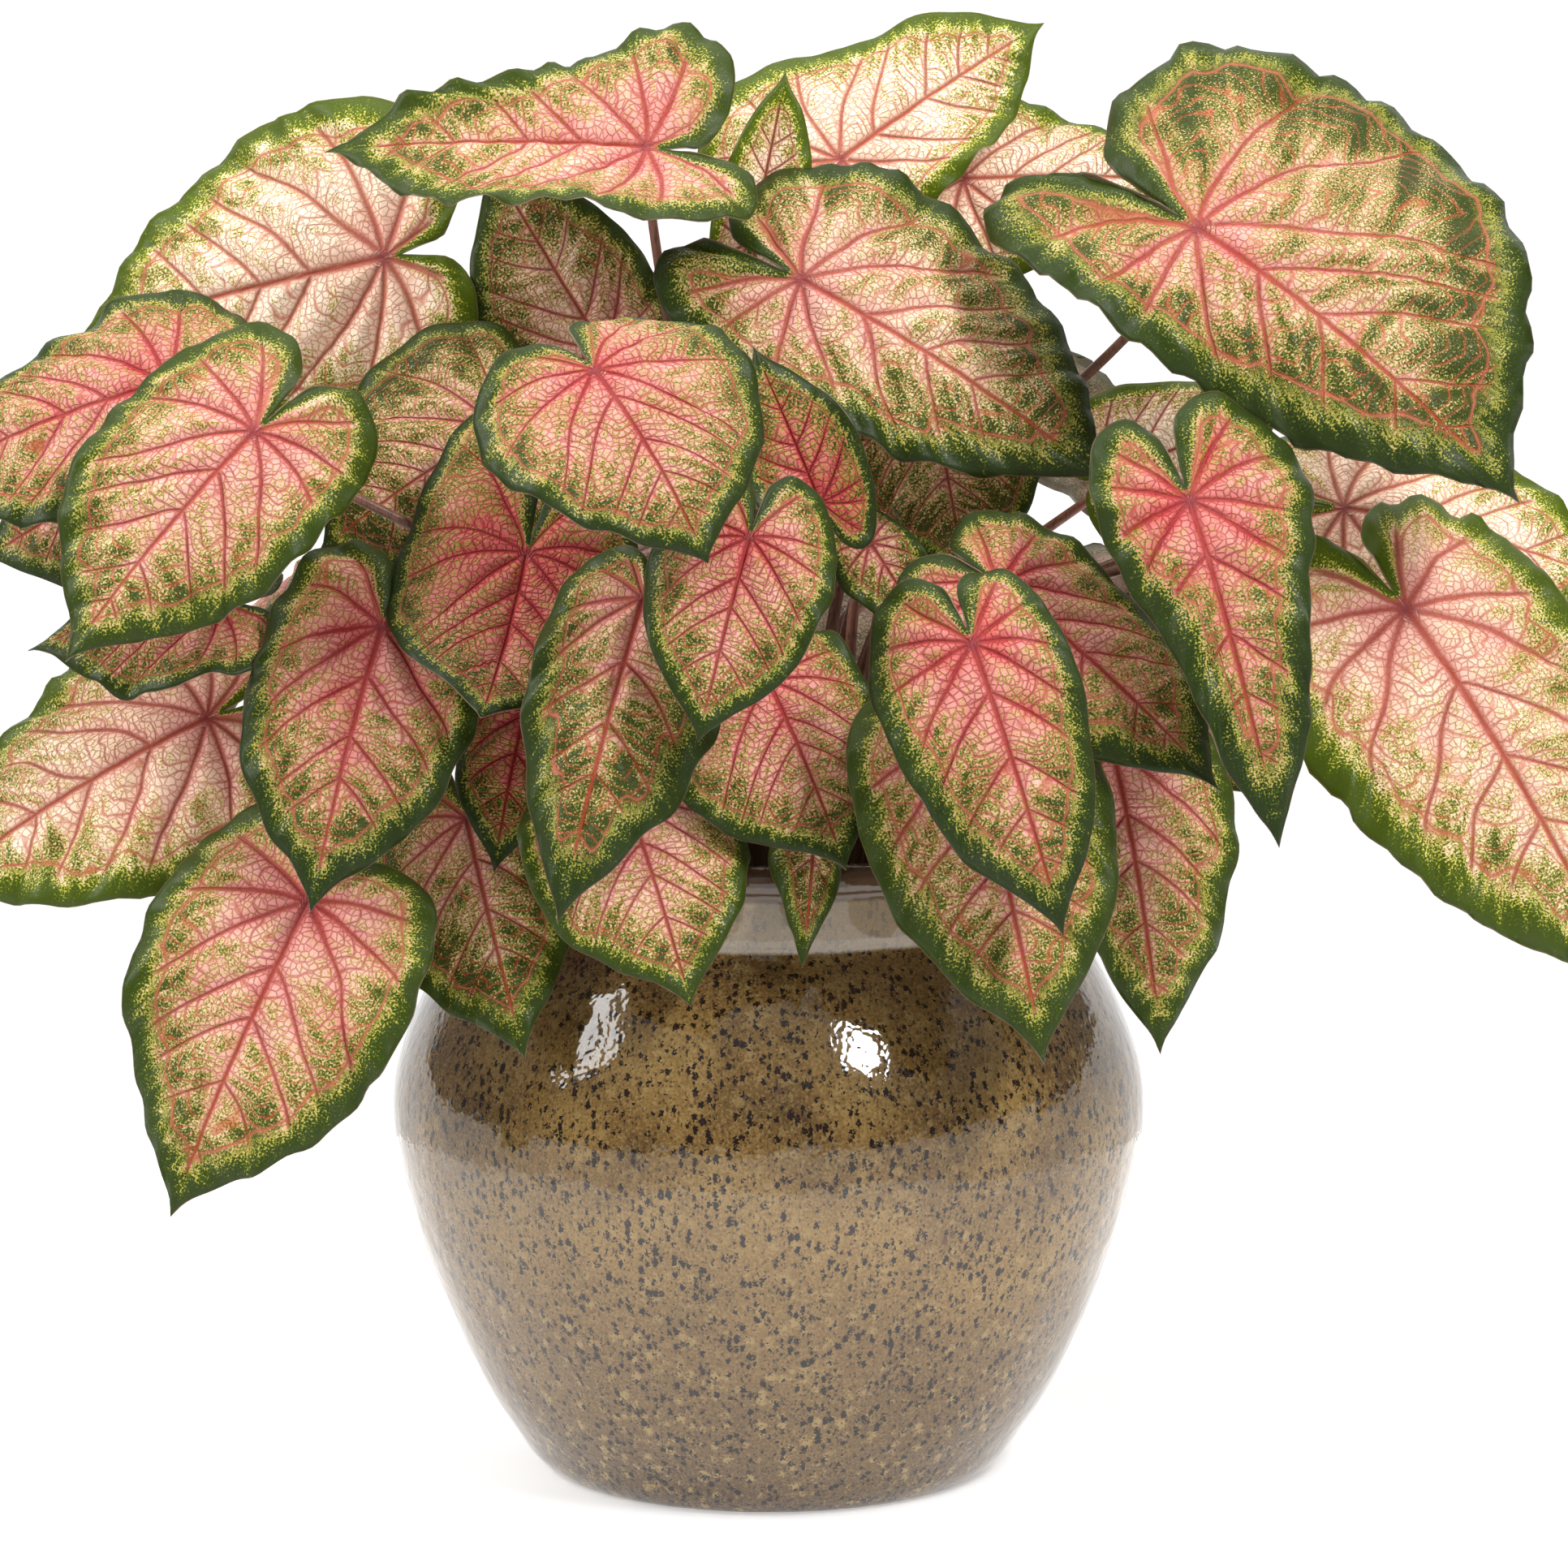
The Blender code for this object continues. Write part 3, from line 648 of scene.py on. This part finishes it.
# %% [markdown]
# ## Stalks
#
# The stalk, or petiole, is a round juicy stem that rises out of the soil, leans out and hooks over to meet
# the blade from below. Its route is two Bezier arcs, as in the frame, and a circle is carried along it.

# %% Stalk routes
SOIL_TOP = 238.0
STEM_BASE_RADIUS = 3.0
STEM_TIP_RADIUS = 1.7
STEM_DEPTH = 14.0
STEM_SPACING = 10.0
STEM_RING = 76.0
STEM_CLIMB = 18.0
STEM_ARCH = 96.0
SPREADING_ROUNDS = 300
STEM_STEPS = 14
STEM_SIDES = 12


def stem_roots(leaves):
    """Where the stems leave the soil: of low leaves near the rim, of high ones nearer the middle."""
    places = np.array([one["attach"] for one in leaves], float)
    far = STEM_RING - 0.19 * (places[:, 2] - SOIL_TOP)
    roots = unit(places[:, :2]) * far[:, None]
    for _ in range(SPREADING_ROUNDS):
        apart = roots[:, None] - roots[None]
        distance = np.linalg.norm(apart, axis=2) + np.eye(len(roots)) * 1e9
        push = np.clip(STEM_SPACING - distance, 0, None) / distance
        roots = roots + 0.25 * (apart * push[..., None]).sum(axis=1)
    return roots


def bezier(start, after, before, end, steps):
    """Points of a cubic Bezier arc."""
    t = np.linspace(0, 1, steps + 1)[:, None]
    return (1 - t) ** 3 * start + 3 * (1 - t) ** 2 * t * after + 3 * (1 - t) * t**2 * before + t**3 * end


def stem_path(one, root, steps):
    """Points of a stalk's middle line from its base in the soil to the underside of its blade."""
    attach, ahead, _, upper, _, bow = leaf_frame(one)
    arrival = unit(math.cos(bow) * upper - math.sin(bow) * ahead)
    ground = np.array([root[0], root[1], SOIL_TOP])
    base = ground - [0, 0, STEM_DEPTH]
    climb = ground + [0, 0, STEM_CLIMB]
    lean_x, lean_y = one["lean"]
    arch = ground + [lean_x, lean_y, STEM_ARCH + 0.12 * (attach[2] - SOIL_TOP) + one["lift"]]
    below = attach - one["reach"] * arrival
    middle = (climb + 2 * arch + below) / 4
    lower = bezier(base, climb, (climb + arch) / 2, middle, steps)
    upper_arc = bezier(middle, (arch + below) / 2, below, attach - 0.1 * arrival, steps)
    return np.vstack([lower, upper_arc[1:]])


def tube(path, radii, sides):
    """A closed tube of circles carried along the path, and its points' distances from both ends."""
    tangent = unit(np.gradient(path, axis=0))
    run = path[-1] - path[0]
    level = unit([-run[1], run[0], 1e-6])
    first = unit(level - (tangent @ level)[:, None] * tangent)
    second = np.cross(tangent, first)
    x, y = circle(sides)
    ring = x[:, None] * first[:, None] + y[:, None] * second[:, None]
    points = (path[:, None] + radii[:, None, None] * ring).reshape(-1, 3)
    low = len(path) * sides
    high = low + 1
    index = np.arange(low).reshape(-1, sides)
    after = np.roll(index, -1, axis=1)
    faces = np.vstack([faces_of(index[:-1], after[:-1], after[1:], index[1:]),
                       faces_of(low, after[0], index[0], low), faces_of(high, index[-1], after[-1], high)])
    travelled = travelled_along(path)
    edge = vectors(travelled, travelled[-1] - travelled, 0.0)
    edge = np.vstack([np.repeat(edge, sides, axis=0), edge[:1], edge[-1:]])
    return np.vstack([points, path[:1], path[-1:]]), faces, edge


# %% [markdown]
# ## What a caladium leaf is coloured like
#
# Living leaf tissue is not painted: its colour comes from cells. Where chlorophyll is missing the blade is
# cream, and red pigment turns it pink, most of all along the veins. Green cells are scattered through it
# like sprayed specks, thicker away from the veins and towards the margin, where they close into a dark green
# band. The surface has a soft wax bloom: not glossy, not dull.

# %% Leaf material
NET_CELL = 2.8
SIDE_VEINS_APART = 6.0
SPECK = 0.85


def leaf_material():
    """Caladium blade: pink tissue, red veins and their net, green specks and band, and painted backlight."""
    material, tree, surface = new_material("living_leaf_blade")

    def stored(name):
        return add(tree, "Attribute", attribute_name=name).node.outputs["Vector"]

    def grains(size, vector):
        """Noise round 0, with grains of a size in the vector's units."""
        return minus(noise(vector, 1 / size, 1.0, noise_dimensions="2D"), 0.5)

    flat = stored("flat")
    step, per_step, distance = parts_of(stored("veins"))
    walked, rim, under = parts_of(stored("edge"))
    pink, green, light = parts_of(stored("look"))
    rung_shift, rung_strength, band_width = parts_of(stored("growth"))
    to_midrib, forward, _ = parts_of(stored("middle"))
    depth = over(rim, band_width)
    inside = eased(depth, 0.7, 1.05)

    # Main veins: how far the nearest one is, and how wide it is there
    gap = times(off_whole(step), per_step)
    swell = exponent(over(distance, -34.0))
    # Painted backlight: the veins are drawn wider on blades with more light
    thicker = times_plus(light, 0.45, 0.95)
    width = times(times_plus(swell, 0.8, 0.46), thicker)
    rib_width = times(times_plus(forward, -0.85, 1.45), thicker)
    main_vein = larger(times(hill(gap, width), 0.9), hill(to_midrib, rib_width))
    main_vein = times(main_vein, inside)
    halo = larger(hill(gap, times(width, 3.8)), hill(to_midrib, times(rib_width, 3.4)))
    halo = times(halo, inside)

    # The vein that runs along inside the margin, dipping inward where a main vein meets it
    line = minus(depth, times_plus(hill(gap, 7.0), 0.16, 1.06))
    margin_vein = times(hill(times(line, band_width), 0.6), 0.85)

    # Side veins: they leave a main vein forward and outward, a few millimetres apart
    rung = over(plus(times_plus(gap, -0.72, distance), rung_shift), SIDE_VEINS_APART)
    rung_gap = times(off_whole(rung), 0.8 * SIDE_VEINS_APART)
    faded = times(times(eased(distance, 8.0, 22.0), rung_strength), inside)
    side_vein = times(hill(rung_gap, 0.5), faded)
    side_halo = times(hill(rung_gap, 1.5), faded)

    # The net between them
    cells = add(tree, "TexVoronoi", voronoi_dimensions="2D", feature="DISTANCE_TO_EDGE", Vector=flat,
                Scale=1 / NET_CELL).node.outputs["Distance"]
    net = times(minus(1.0, eased(cells, 0.0, 0.15)), inside)

    # Tissue from cream to rose
    # Painted backlight: the tissue is less red on blades with more light
    redness = total(0.0, (pink, 0.78), (halo, 0.22), (swell, 0.06), (light, -0.14), clamp=True)
    tissue = ramp(redness, (0.0, "#fbe9d2"), (0.3, "#efcab1"), (0.6, "#e3a197"), (1.0, "#c75454"))

    # Green specks, in blotches drawn out along the main veins
    grit = grains(SPECK, flat)
    streaked = add(tree, "CombineXYZ", times(distance, 0.05), times(step, 3.6), 0.0)
    streaked = add(tree, "VectorMath", flat, (0.06, 0.06, 0.0), streaked, operation="MULTIPLY_ADD")
    blotch = grains(1.0, streaked)
    toward_margin = minus(1.0, eased(depth, 0.9, 3.4))
    thick = total(-0.06, (toward_margin, 0.66), (green, 0.8), (blotch, 1.8), (halo, -0.6), (side_halo, -0.3),
                  (swell, -0.5))
    grain = times_plus(grit, 4.4, thick)
    # Painted backlight: the specks are lighter on blades with more light
    shade = total(0.0, (grain, 0.45), (thick, 0.45), (light, -0.2))
    speck_colour = ramp(shade, (0.12, "#b3a540"), (0.42, "#868a2c"), (0.75, "#55671c"), (1.0, "#30430f"))
    olive = times_plus(thick, 0.5, 0.14, use_clamp=True)

    # Green band at the margin: solid outside, and inside a zone of yellow green sprayed with dark grains
    covered = total(0.0, (minus(1.04, depth), 3.0), (grit, 3.4), (blotch, 2.0))
    fibre = add(tree, "CombineXYZ", over(walked, 2.4), over(rim, 9.0), 0.0)
    filled = total(0.0, (minus(1.0, depth), 1.05), (grains(1.0, fibre), 0.55), (blotch, 0.8), (grit, 1.7))
    # Painted light: two copies of the band colour, a dark one painted as lit from the front and a yellower
    # one painted as lit from behind, mixed by the light number
    band_painted_frontlit = ramp(filled, (0.1, "#a59c42"), (0.22, "#6d7426"), (0.34, "#36460f"), (0.7, "#212f08"))
    band_painted_backlit = ramp(filled, (0.1, "#bbb048"), (0.22, "#888c26"), (0.34, "#56660c"), (0.7, "#435205"))

    # Put together, from the tissue up to the pale line of the margin
    vein_colour = mixed(redness, linear("#b15230"), linear("#982828"))
    lines = larger(larger(times(side_vein, 0.75), times(net, 0.16)), main_vein)
    colour = layered(
        tissue,
        (smaller(olive, 0.7), "#c09a48"),
        (times(net, times_plus(redness, 0.45, 0.32)), vein_colour),
        (eased(grain, 0.26, 0.42), speck_colour),
        (times(lines, 0.97), vein_colour),
        (times(hill(distance, 3.4), 0.75), "#7c3036"),
        (eased(covered, 0.1, 0.45), mixed(light, band_painted_frontlit, band_painted_backlit)),
        (margin_vein, "#ad5c44"),
        (times(hill(rim, 0.25), 0.4), "#9c7a66"),
    )
    below = add(tree, "HueSaturation", Saturation=0.62, Value=1.02, Color=colour)
    colour = mixed(under, colour, mixed(0.28, below, linear("#c9bfa2")))

    # Painted glow: the palest blades give off light of their own colour, in place of daylight from behind
    # shining through them, less at their veins
    through = times(light, times_plus(main_vein, -0.22, 0.22), use_clamp=True)
    painted_glow = add(tree, "VectorMath", Vector=colour, Scale=through, operation="SCALE")
    material.cycles.emission_sampling = "NONE"

    # Wax bloom and relief: veins are sunk in the upper face and stand out of the lower one
    relief = larger(main_vein, times(larger(side_vein, margin_vein), 0.5))
    relief = times(larger(relief, times(net, 0.3)), times_plus(under, 2.0, -1.0))
    fill(surface, Base_Color=colour, Emission_Color=painted_glow, Emission_Strength=1.0, IOR=1.45,
         Normal=bumped(relief, 1.0, 1.1), Roughness=times_plus(grit, 0.16, 0.46), Specular_IOR_Level=0.25)
    return material


# %% [markdown]
# The stalk is the same living tissue, but round and full of water: pinkish brown, darker and greener towards
# the soil, with fine dark dashes along it and a soft shine.

# %% Stalk material
def stalk_material():
    """Caladium stalk, coloured by its distances from the soil and from the blade."""
    material, tree, surface = new_material("living_leaf_stalk")
    edge = add(tree, "Attribute", attribute_name="edge").node.outputs["Vector"]
    risen, left, _ = parts_of(edge)
    dashes = add(tree, "Mapping", Vector=object_place(tree), Scale=(900.0, 900.0, 130.0))
    dashes = noise(dashes, 1.0, 2.0)
    colour = ramp(ranged(left, 0.0, 70.0), (0.0, "#c98272"), (0.3, "#a8705c"), (1.0, "#75503f"))
    colour = mixed(ranged(risen, 14.0, 70.0), linear("#4d4a2c"), colour)
    colour = layered(colour, (times(ranged(dashes, 0.52, 0.66), 0.55), "#3c2620"))
    fill(surface, Base_Color=colour, Normal=bumped(dashes, 0.3, 0.3), Roughness=0.32, IOR=1.42)
    return material


# %% Make the leaves
def make_leaf(number, one, root, materials):
    """Blade and stalk of one leaf as one piece, which stands for the frame's leaf."""
    name = f"leaf_{number:02d}"
    points, faces, values = blade_shell(one, number)
    path = stem_path(one, root, STEM_STEPS)
    share = np.linspace(0, 1, len(path))
    radii = STEM_BASE_RADIUS + (STEM_TIP_RADIUS - STEM_BASE_RADIUS) * share
    stem_points, stem_faces, edge = tube(path, radii, STEM_SIDES)
    values = {key: np.vstack([array, edge * (key == "edge")]) for key, array in values.items()}
    which = np.concatenate([np.zeros(len(faces)), np.ones(len(stem_faces))])
    piece = make_piece(f"caladium_{name}", np.vstack([points, stem_points]),
                       np.vstack([faces, stem_faces + len(points)]), materials, which, values)
    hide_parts(name)
    return len(faces) + len(stem_faces)


leaf_materials = (leaf_material(), stalk_material())
faces_made = [make_leaf(number, one, root, leaf_materials)
              for number, (one, root) in enumerate(zip(LEAVES, stem_roots(LEAVES)), 1)]
print(f"leaves: {sum(faces_made)} faces, {max(faces_made)} in the largest")


# %% [markdown]
# ## The pot
#
# The pot is wheel-thrown stoneware: a round belly, a short neck band and a rolled lip, turned from one
# profile. Its glaze is olive brown, speckled with iron that boiled through it in the kiln and ran a little
# downward, so the specks are taller than wide. It is glass, and mirrors the floor and the windows.

# %% Turned shapes
POT_HEIGHT = 262.0
POT_RADIUS = 150.0
RIM_RADIUS = 115.0
LIP_RADIUS = 6.5
FOOT_RADIUS = 88.0
WALL = 9.0
FLOOR = 14.0
NECK_BOTTOM = 228.4
NECK_TOP = 248.6


def turned(profile, sides):
    """Points and faces of a closed turned shape. Its (radius, height) profile starts and ends on the axis."""
    profile = np.asarray(profile, float)
    x, y = circle(sides)
    radius, height = profile[1:-1, :1], profile[1:-1, 1:]
    ring = vectors(radius * x, radius * y, height).reshape(-1, 3)
    first = len(ring)
    last = first + 1
    index = np.arange(first).reshape(-1, sides)
    after = np.roll(index, -1, axis=1)
    faces = np.vstack([faces_of(index[:-1], index[1:], after[1:], after[:-1]),
                       faces_of(first, index[0], after[0], first),
                       faces_of(last, after[-1], index[-1], last)])
    return np.vstack([ring, [0, 0, profile[0, 1]], [0, 0, profile[-1, 1]]]), faces


def wall_curve(inset, steps):
    """The pot's side from under its neck to its foot, moved inward by inset."""
    side = [
        (RIM_RADIUS - 3, 227), (POT_RADIUS - 17, 202), (POT_RADIUS, 155), (POT_RADIUS - 7, 104),
        (POT_RADIUS - 31, 44), (FOOT_RADIUS + 10, 9),
    ]
    line = smooth_line(side, steps)
    line[:, 0] -= inset
    return line


def pot_profile():
    """From the middle of the inner floor, up the inside, over the lip, down the outside to the foot."""
    inner = wall_curve(WALL, 24)[:-1]
    inner[-1, 1] += 6
    inside = [(RIM_RADIUS - 12, SOIL_TOP), *map(tuple, inner), (FOOT_RADIUS - 4, FLOOR), (0, FLOOR)]
    turns = np.radians(np.linspace(175, -50, 19))
    lip = [(RIM_RADIUS + LIP_RADIUS * (math.cos(a) - 1), POT_HEIGHT + LIP_RADIUS * (math.sin(a) - 1))
           for a in turns]
    band = [(RIM_RADIUS - 2.4, NECK_TOP), (RIM_RADIUS - 2.2, 246), (RIM_RADIUS - 1.6, 240),
            (RIM_RADIUS - 1.5, 234), (RIM_RADIUS - 2.2, 230.6), (RIM_RADIUS - 3.6, NECK_BOTTOM)]
    foot = [(FOOT_RADIUS + 7, 5.4), (FOOT_RADIUS + 4, 2.4), (FOOT_RADIUS + 1, 0.6), (FOOT_RADIUS - 1, 0),
            (0, 0)]
    return [*reversed(inside), *lip, *band, *map(tuple, wall_curve(0, 72)), *foot]


# %% Glaze
def glaze_material():
    """Speckled stoneware glaze: glassy and olive brown, with specks of four kinds, and painted light by
    height.
    """
    material, tree, surface = new_material("speckled_stoneware_glaze")
    place = object_place(tree)
    height = parts_of(place)[2]
    grains = noise(place, 900.0, 1.0)
    frayed = grains.node.outputs["Color"]

    def speck(size, stretch, cutoff, soft, seed):
        """Ragged dots, one in each cell of a size in millimetres, stretch times as tall as wide."""
        pitch = 1 / (size * MM)
        spot = add(tree, "Mapping", Vector=place, Location=(seed, seed, seed),
                   Scale=(pitch, pitch, pitch / stretch))
        spot = add(tree, "VectorMath", frayed, (1.1, 1.1, 1.1), spot, operation="MULTIPLY_ADD")
        cell = add(tree, "TexVoronoi", Vector=spot, Scale=1.0, Randomness=1.0).node
        kept = times(parts_of(cell.outputs["Color"])[0], cutoff)
        return ranged(minus(kept, cell.outputs["Distance"]), 0.0, soft)

    cloud = noise(place, 26.0, 4.0)
    pale_low = ranged(height, 0.15, 0.02, 0.3, 0.85)
    rust = times(speck(3.2, 1.5, 0.6, 0.16, 11.0), ranged(cloud, 0.42, 0.3))
    colour = layered(
        ramp(cloud, (0.3, "#503c1e"), (0.48, "#694f28"), (0.7, "#866b3b")),
        # Painted reflection: the lower belly is painted paler, for the white floor that it mirrors
        (ranged(height, 0.175, 0.12, 0.0, 0.4), "#9c7b49"),
        # Painted shade: darker towards the foot, where the belly turns under and gets less light
        (ranged(height, 0.11, 0.0, 0.0, 0.75), "#4a372a"),
        (ranged(grains, 0.5, 0.7, 0.0, 0.24), "#b09a6c"),
        (ranged(grains, 0.5, 0.3, 0.0, 0.3), "#3f2e1a"),
        (times(speck(4.4, 1.1, 0.66, 0.3, 3.0), pale_low), "#a38b5a"),
        (times(rust, 0.8), "#4c2c20"),
        (speck(2.6, 1.6, 0.6, 0.1, 7.0), "#1d120b"),
        (times(speck(1.5, 1.3, 0.5, 0.12, 5.0), 0.75), "#33251a"),
    )

    # The neck band is painted paler, a painted reflection of the white room, and the lip is dark brown
    neck_painted_reflection = ranged(height, (NECK_BOTTOM - 0.9) * MM, (NECK_BOTTOM + 0.6) * MM)
    lip = ranged(height, (NECK_TOP - 1.1) * MM, (NECK_TOP + 0.9) * MM)
    colour = layered(colour, (times(neck_painted_reflection, 0.5), "#b5a894"), (times(lip, 0.9), "#4a3220"))
    uneven = bumped(noise(place, 34.0, 4.0, 0.6), 0.8, 1.5)
    fill(surface, Base_Color=colour, Normal=uneven, Roughness=0.07, IOR=1.5,
         Coat_Normal=uneven, Coat_Weight=0.4, Coat_Roughness=0.03)
    return material


pot_points, pot_faces = turned(pot_profile(), 160)
pot = make_piece("stoneware_pot", pot_points, pot_faces, [glaze_material()])
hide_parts("pot")
print(f"pot: {len(pot_faces)} faces")


# %% [markdown]
# ## Potting mix
#
# The pot is filled with potting mix: dark peat with bark and grit.

# %% Potting mix
MIX_RADIUS = RIM_RADIUS - 13.4
MIX_DEPTH = 16.0


def lumps(x, y, size, seed):
    """Rounded crumbs: the height of the nearest of many scattered dots, at most 1, and 0 between them."""
    rng = np.random.default_rng(seed)
    cells = int(2 * RIM_RADIUS / size) + 8
    cell_x, cell_y = np.floor(x / size).astype(int), np.floor(y / size).astype(int)
    shift = rng.uniform(0.15, 0.85, (cells, cells, 2))
    tall = rng.uniform(0.3, 1.0, (cells, cells))
    best = np.zeros_like(x)
    for step_x, step_y in np.ndindex(3, 3):
        near_x, near_y = cell_x + step_x - 1, cell_y + step_y - 1
        i, j = (near_x + cells // 2) % cells, (near_y + cells // 2) % cells
        aside = x - (near_x + shift[i, j, 0]) * size, y - (near_y + shift[i, j, 1]) * size
        reach = np.hypot(*aside) / (0.62 * size)
        best = np.maximum(best, tall[i, j] * np.sqrt(np.clip(1 - reach**2, 0, 1)))
    return best


def potting_mix():
    """A turned slab that fills the neck, its top lifted by crumbs of 9, 5 and 2.6 mm."""
    top = [(radius, SOIL_TOP) for radius in np.linspace(0, MIX_RADIUS, 64)]
    bottom = SOIL_TOP - MIX_DEPTH
    points, faces = turned([*top, (MIX_RADIUS, SOIL_TOP - 4), (MIX_RADIUS, bottom), (0, bottom)], 220)
    top = points[:, 2] > SOIL_TOP - 1
    x, y = points[top, 0], points[top, 1]
    relief = 3.4 * lumps(x, y, 9.0, 1) + 2.2 * lumps(x, y, 5.0, 2) + 1.2 * lumps(x, y, 2.6, 3)
    points[top, 2] += relief - 4.2
    return points, faces


def potting_mix_material():
    """Damp peat and bark: nearly black, with brown and a few pale grains, quite matte."""
    material, tree, surface = new_material("peat_potting_mix")
    place = object_place(tree)
    crumbs = noise(place, 260.0, 4.0)
    grain = add(tree, "TexVoronoi", Vector=place, Scale=210.0).node.outputs["Distance"]
    colour = ramp(crumbs, (0.3, "#1d1510"), (0.55, "#3a2a1e"), (0.75, "#5d4632"))
    colour = layered(colour, (times(ranged(grain, 0.2, 0.12), 0.35), "#9a8468"))
    fill(surface, Base_Color=colour, Normal=bumped(crumbs, 0.8, 0.8), Roughness=0.92)
    return material


mix_points, mix_faces = potting_mix()
mix = make_piece("potting_mix", mix_points, mix_faces, [potting_mix_material()])
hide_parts("soil")
print(f"potting mix: {len(mix_faces)} faces")


# %% [markdown]
# ## Studio
#
# A pale table top, a white room and three soft boxes, two of which show as bright windows in the glaze. The
# camera stands 3 m away with a long lens, a little above the plant.

# %% Floor, lights and camera
TARGET = np.array([6.2, 0.0, 276.0])
CAMERA_DISTANCE = 3000.0
CAMERA_RISE = math.radians(9.5)
FRAME_WIDTH = 625.2
TABLE_RADIUS = 620.0
WHITE = (1.0, 1.0, 1.0, 1.0)


def make_floor():
    """A round table top under the pot, larger than the plant."""
    edge = TABLE_RADIUS * vectors(*circle(96), 0.0)
    mesh = bpy.data.meshes.new("table_top")
    mesh.from_pydata((edge * MM).tolist(), [], [list(range(len(edge)))])
    floor = new_object("table_top", mesh)
    material, tree, surface = new_material("lit_white_board")
    grain = add(tree, "TexNoise", Scale=600.0, Detail=2.0)
    fill(surface, Base_Color=ramp(grain, (0.3, "#e2e2e3"), (0.7, "#e8e8e9")), Roughness=0.7,
         Emission_Color=WHITE, Emission_Strength=0.46)
    mesh.materials.append(material)


def soft_box(name, place, size, power, roll=0.0):
    """A rectangular light that looks at the pot. place and size are in metres, roll in degrees."""
    light = bpy.data.lights.new(name, "AREA")
    light.shape = "RECTANGLE"
    light.size, light.size_y = size
    light.energy = power
    lamp = new_object(name, light)
    lamp.location = place
    towards = Vector((0, 0, 0.2)) - Vector(place)
    turn = towards.to_track_quat("-Z", "Y") @ Quaternion((0, 0, 1), math.radians(roll))
    lamp.rotation_euler = turn.to_euler()


def make_room():
    """World light: white behind and near the ground, dim in front and above; the camera itself sees white.

    The pale ground reaches 5 to 6 degrees above the horizon, a little more on the right, which draws the line
    across the glaze.
    """
    world = bpy.data.worlds.new("white_room")
    bpy.context.scene.world = world
    world.use_nodes = True
    tree = world.node_tree
    sideways, depth, height = parts_of(add(tree, "TexCoord").node.outputs["Generated"])
    ray = add(tree, "LightPath").node
    scattered = ray.outputs["Is Diffuse Ray"]
    front = ranged(depth, -0.1, 0.66, 0.14, ranged(scattered, 0.0, 1.0, 0.2, 0.55))
    behind = ranged(depth, 0.66, 0.76, 0.0, 1.0)
    ground = ranged(times_plus(sideways, -0.07, height), 0.1, 0.08, 0.0, 1.1)
    ground = times(ground, times_plus(scattered, -0.25, 1.0))
    above = ranged(height, 0.3, 0.9, 0.0, 0.4)
    strength = plus(larger(larger(front, behind), ground), above)
    strength = add(tree, "Mix", ray.outputs["Is Camera Ray"], strength, 1.05, data_type="FLOAT")
    fill(tree.nodes["Background"], Color=WHITE, Strength=strength)


def make_camera():
    """The photograph's view: the whole frame is 625 mm wide at the plant."""
    data = bpy.data.cameras.new("camera")
    data.sensor_width = 36.0
    data.lens = data.sensor_width * CAMERA_DISTANCE / FRAME_WIDTH
    camera = new_object("camera", data)
    away = np.array([0, -math.cos(CAMERA_RISE), math.sin(CAMERA_RISE)]) * CAMERA_DISTANCE
    camera.location = (TARGET + away) * MM
    camera.rotation_euler = (math.pi / 2 - CAMERA_RISE, 0, 0)
    bpy.context.scene.camera = camera


make_floor()
make_room()
soft_box("left_window", (-2.04, -0.3, 1.7), (1.3, 1.5), 47, 40)
soft_box("right_window", (1.18, -1.36, 2.06), (0.4, 1.25), 50, -30)
soft_box("overhead", (0.0, 0.3, 2.4), (2.0, 2.0), 24)
make_camera()
bpy.context.scene.view_settings.view_transform = "Standard"
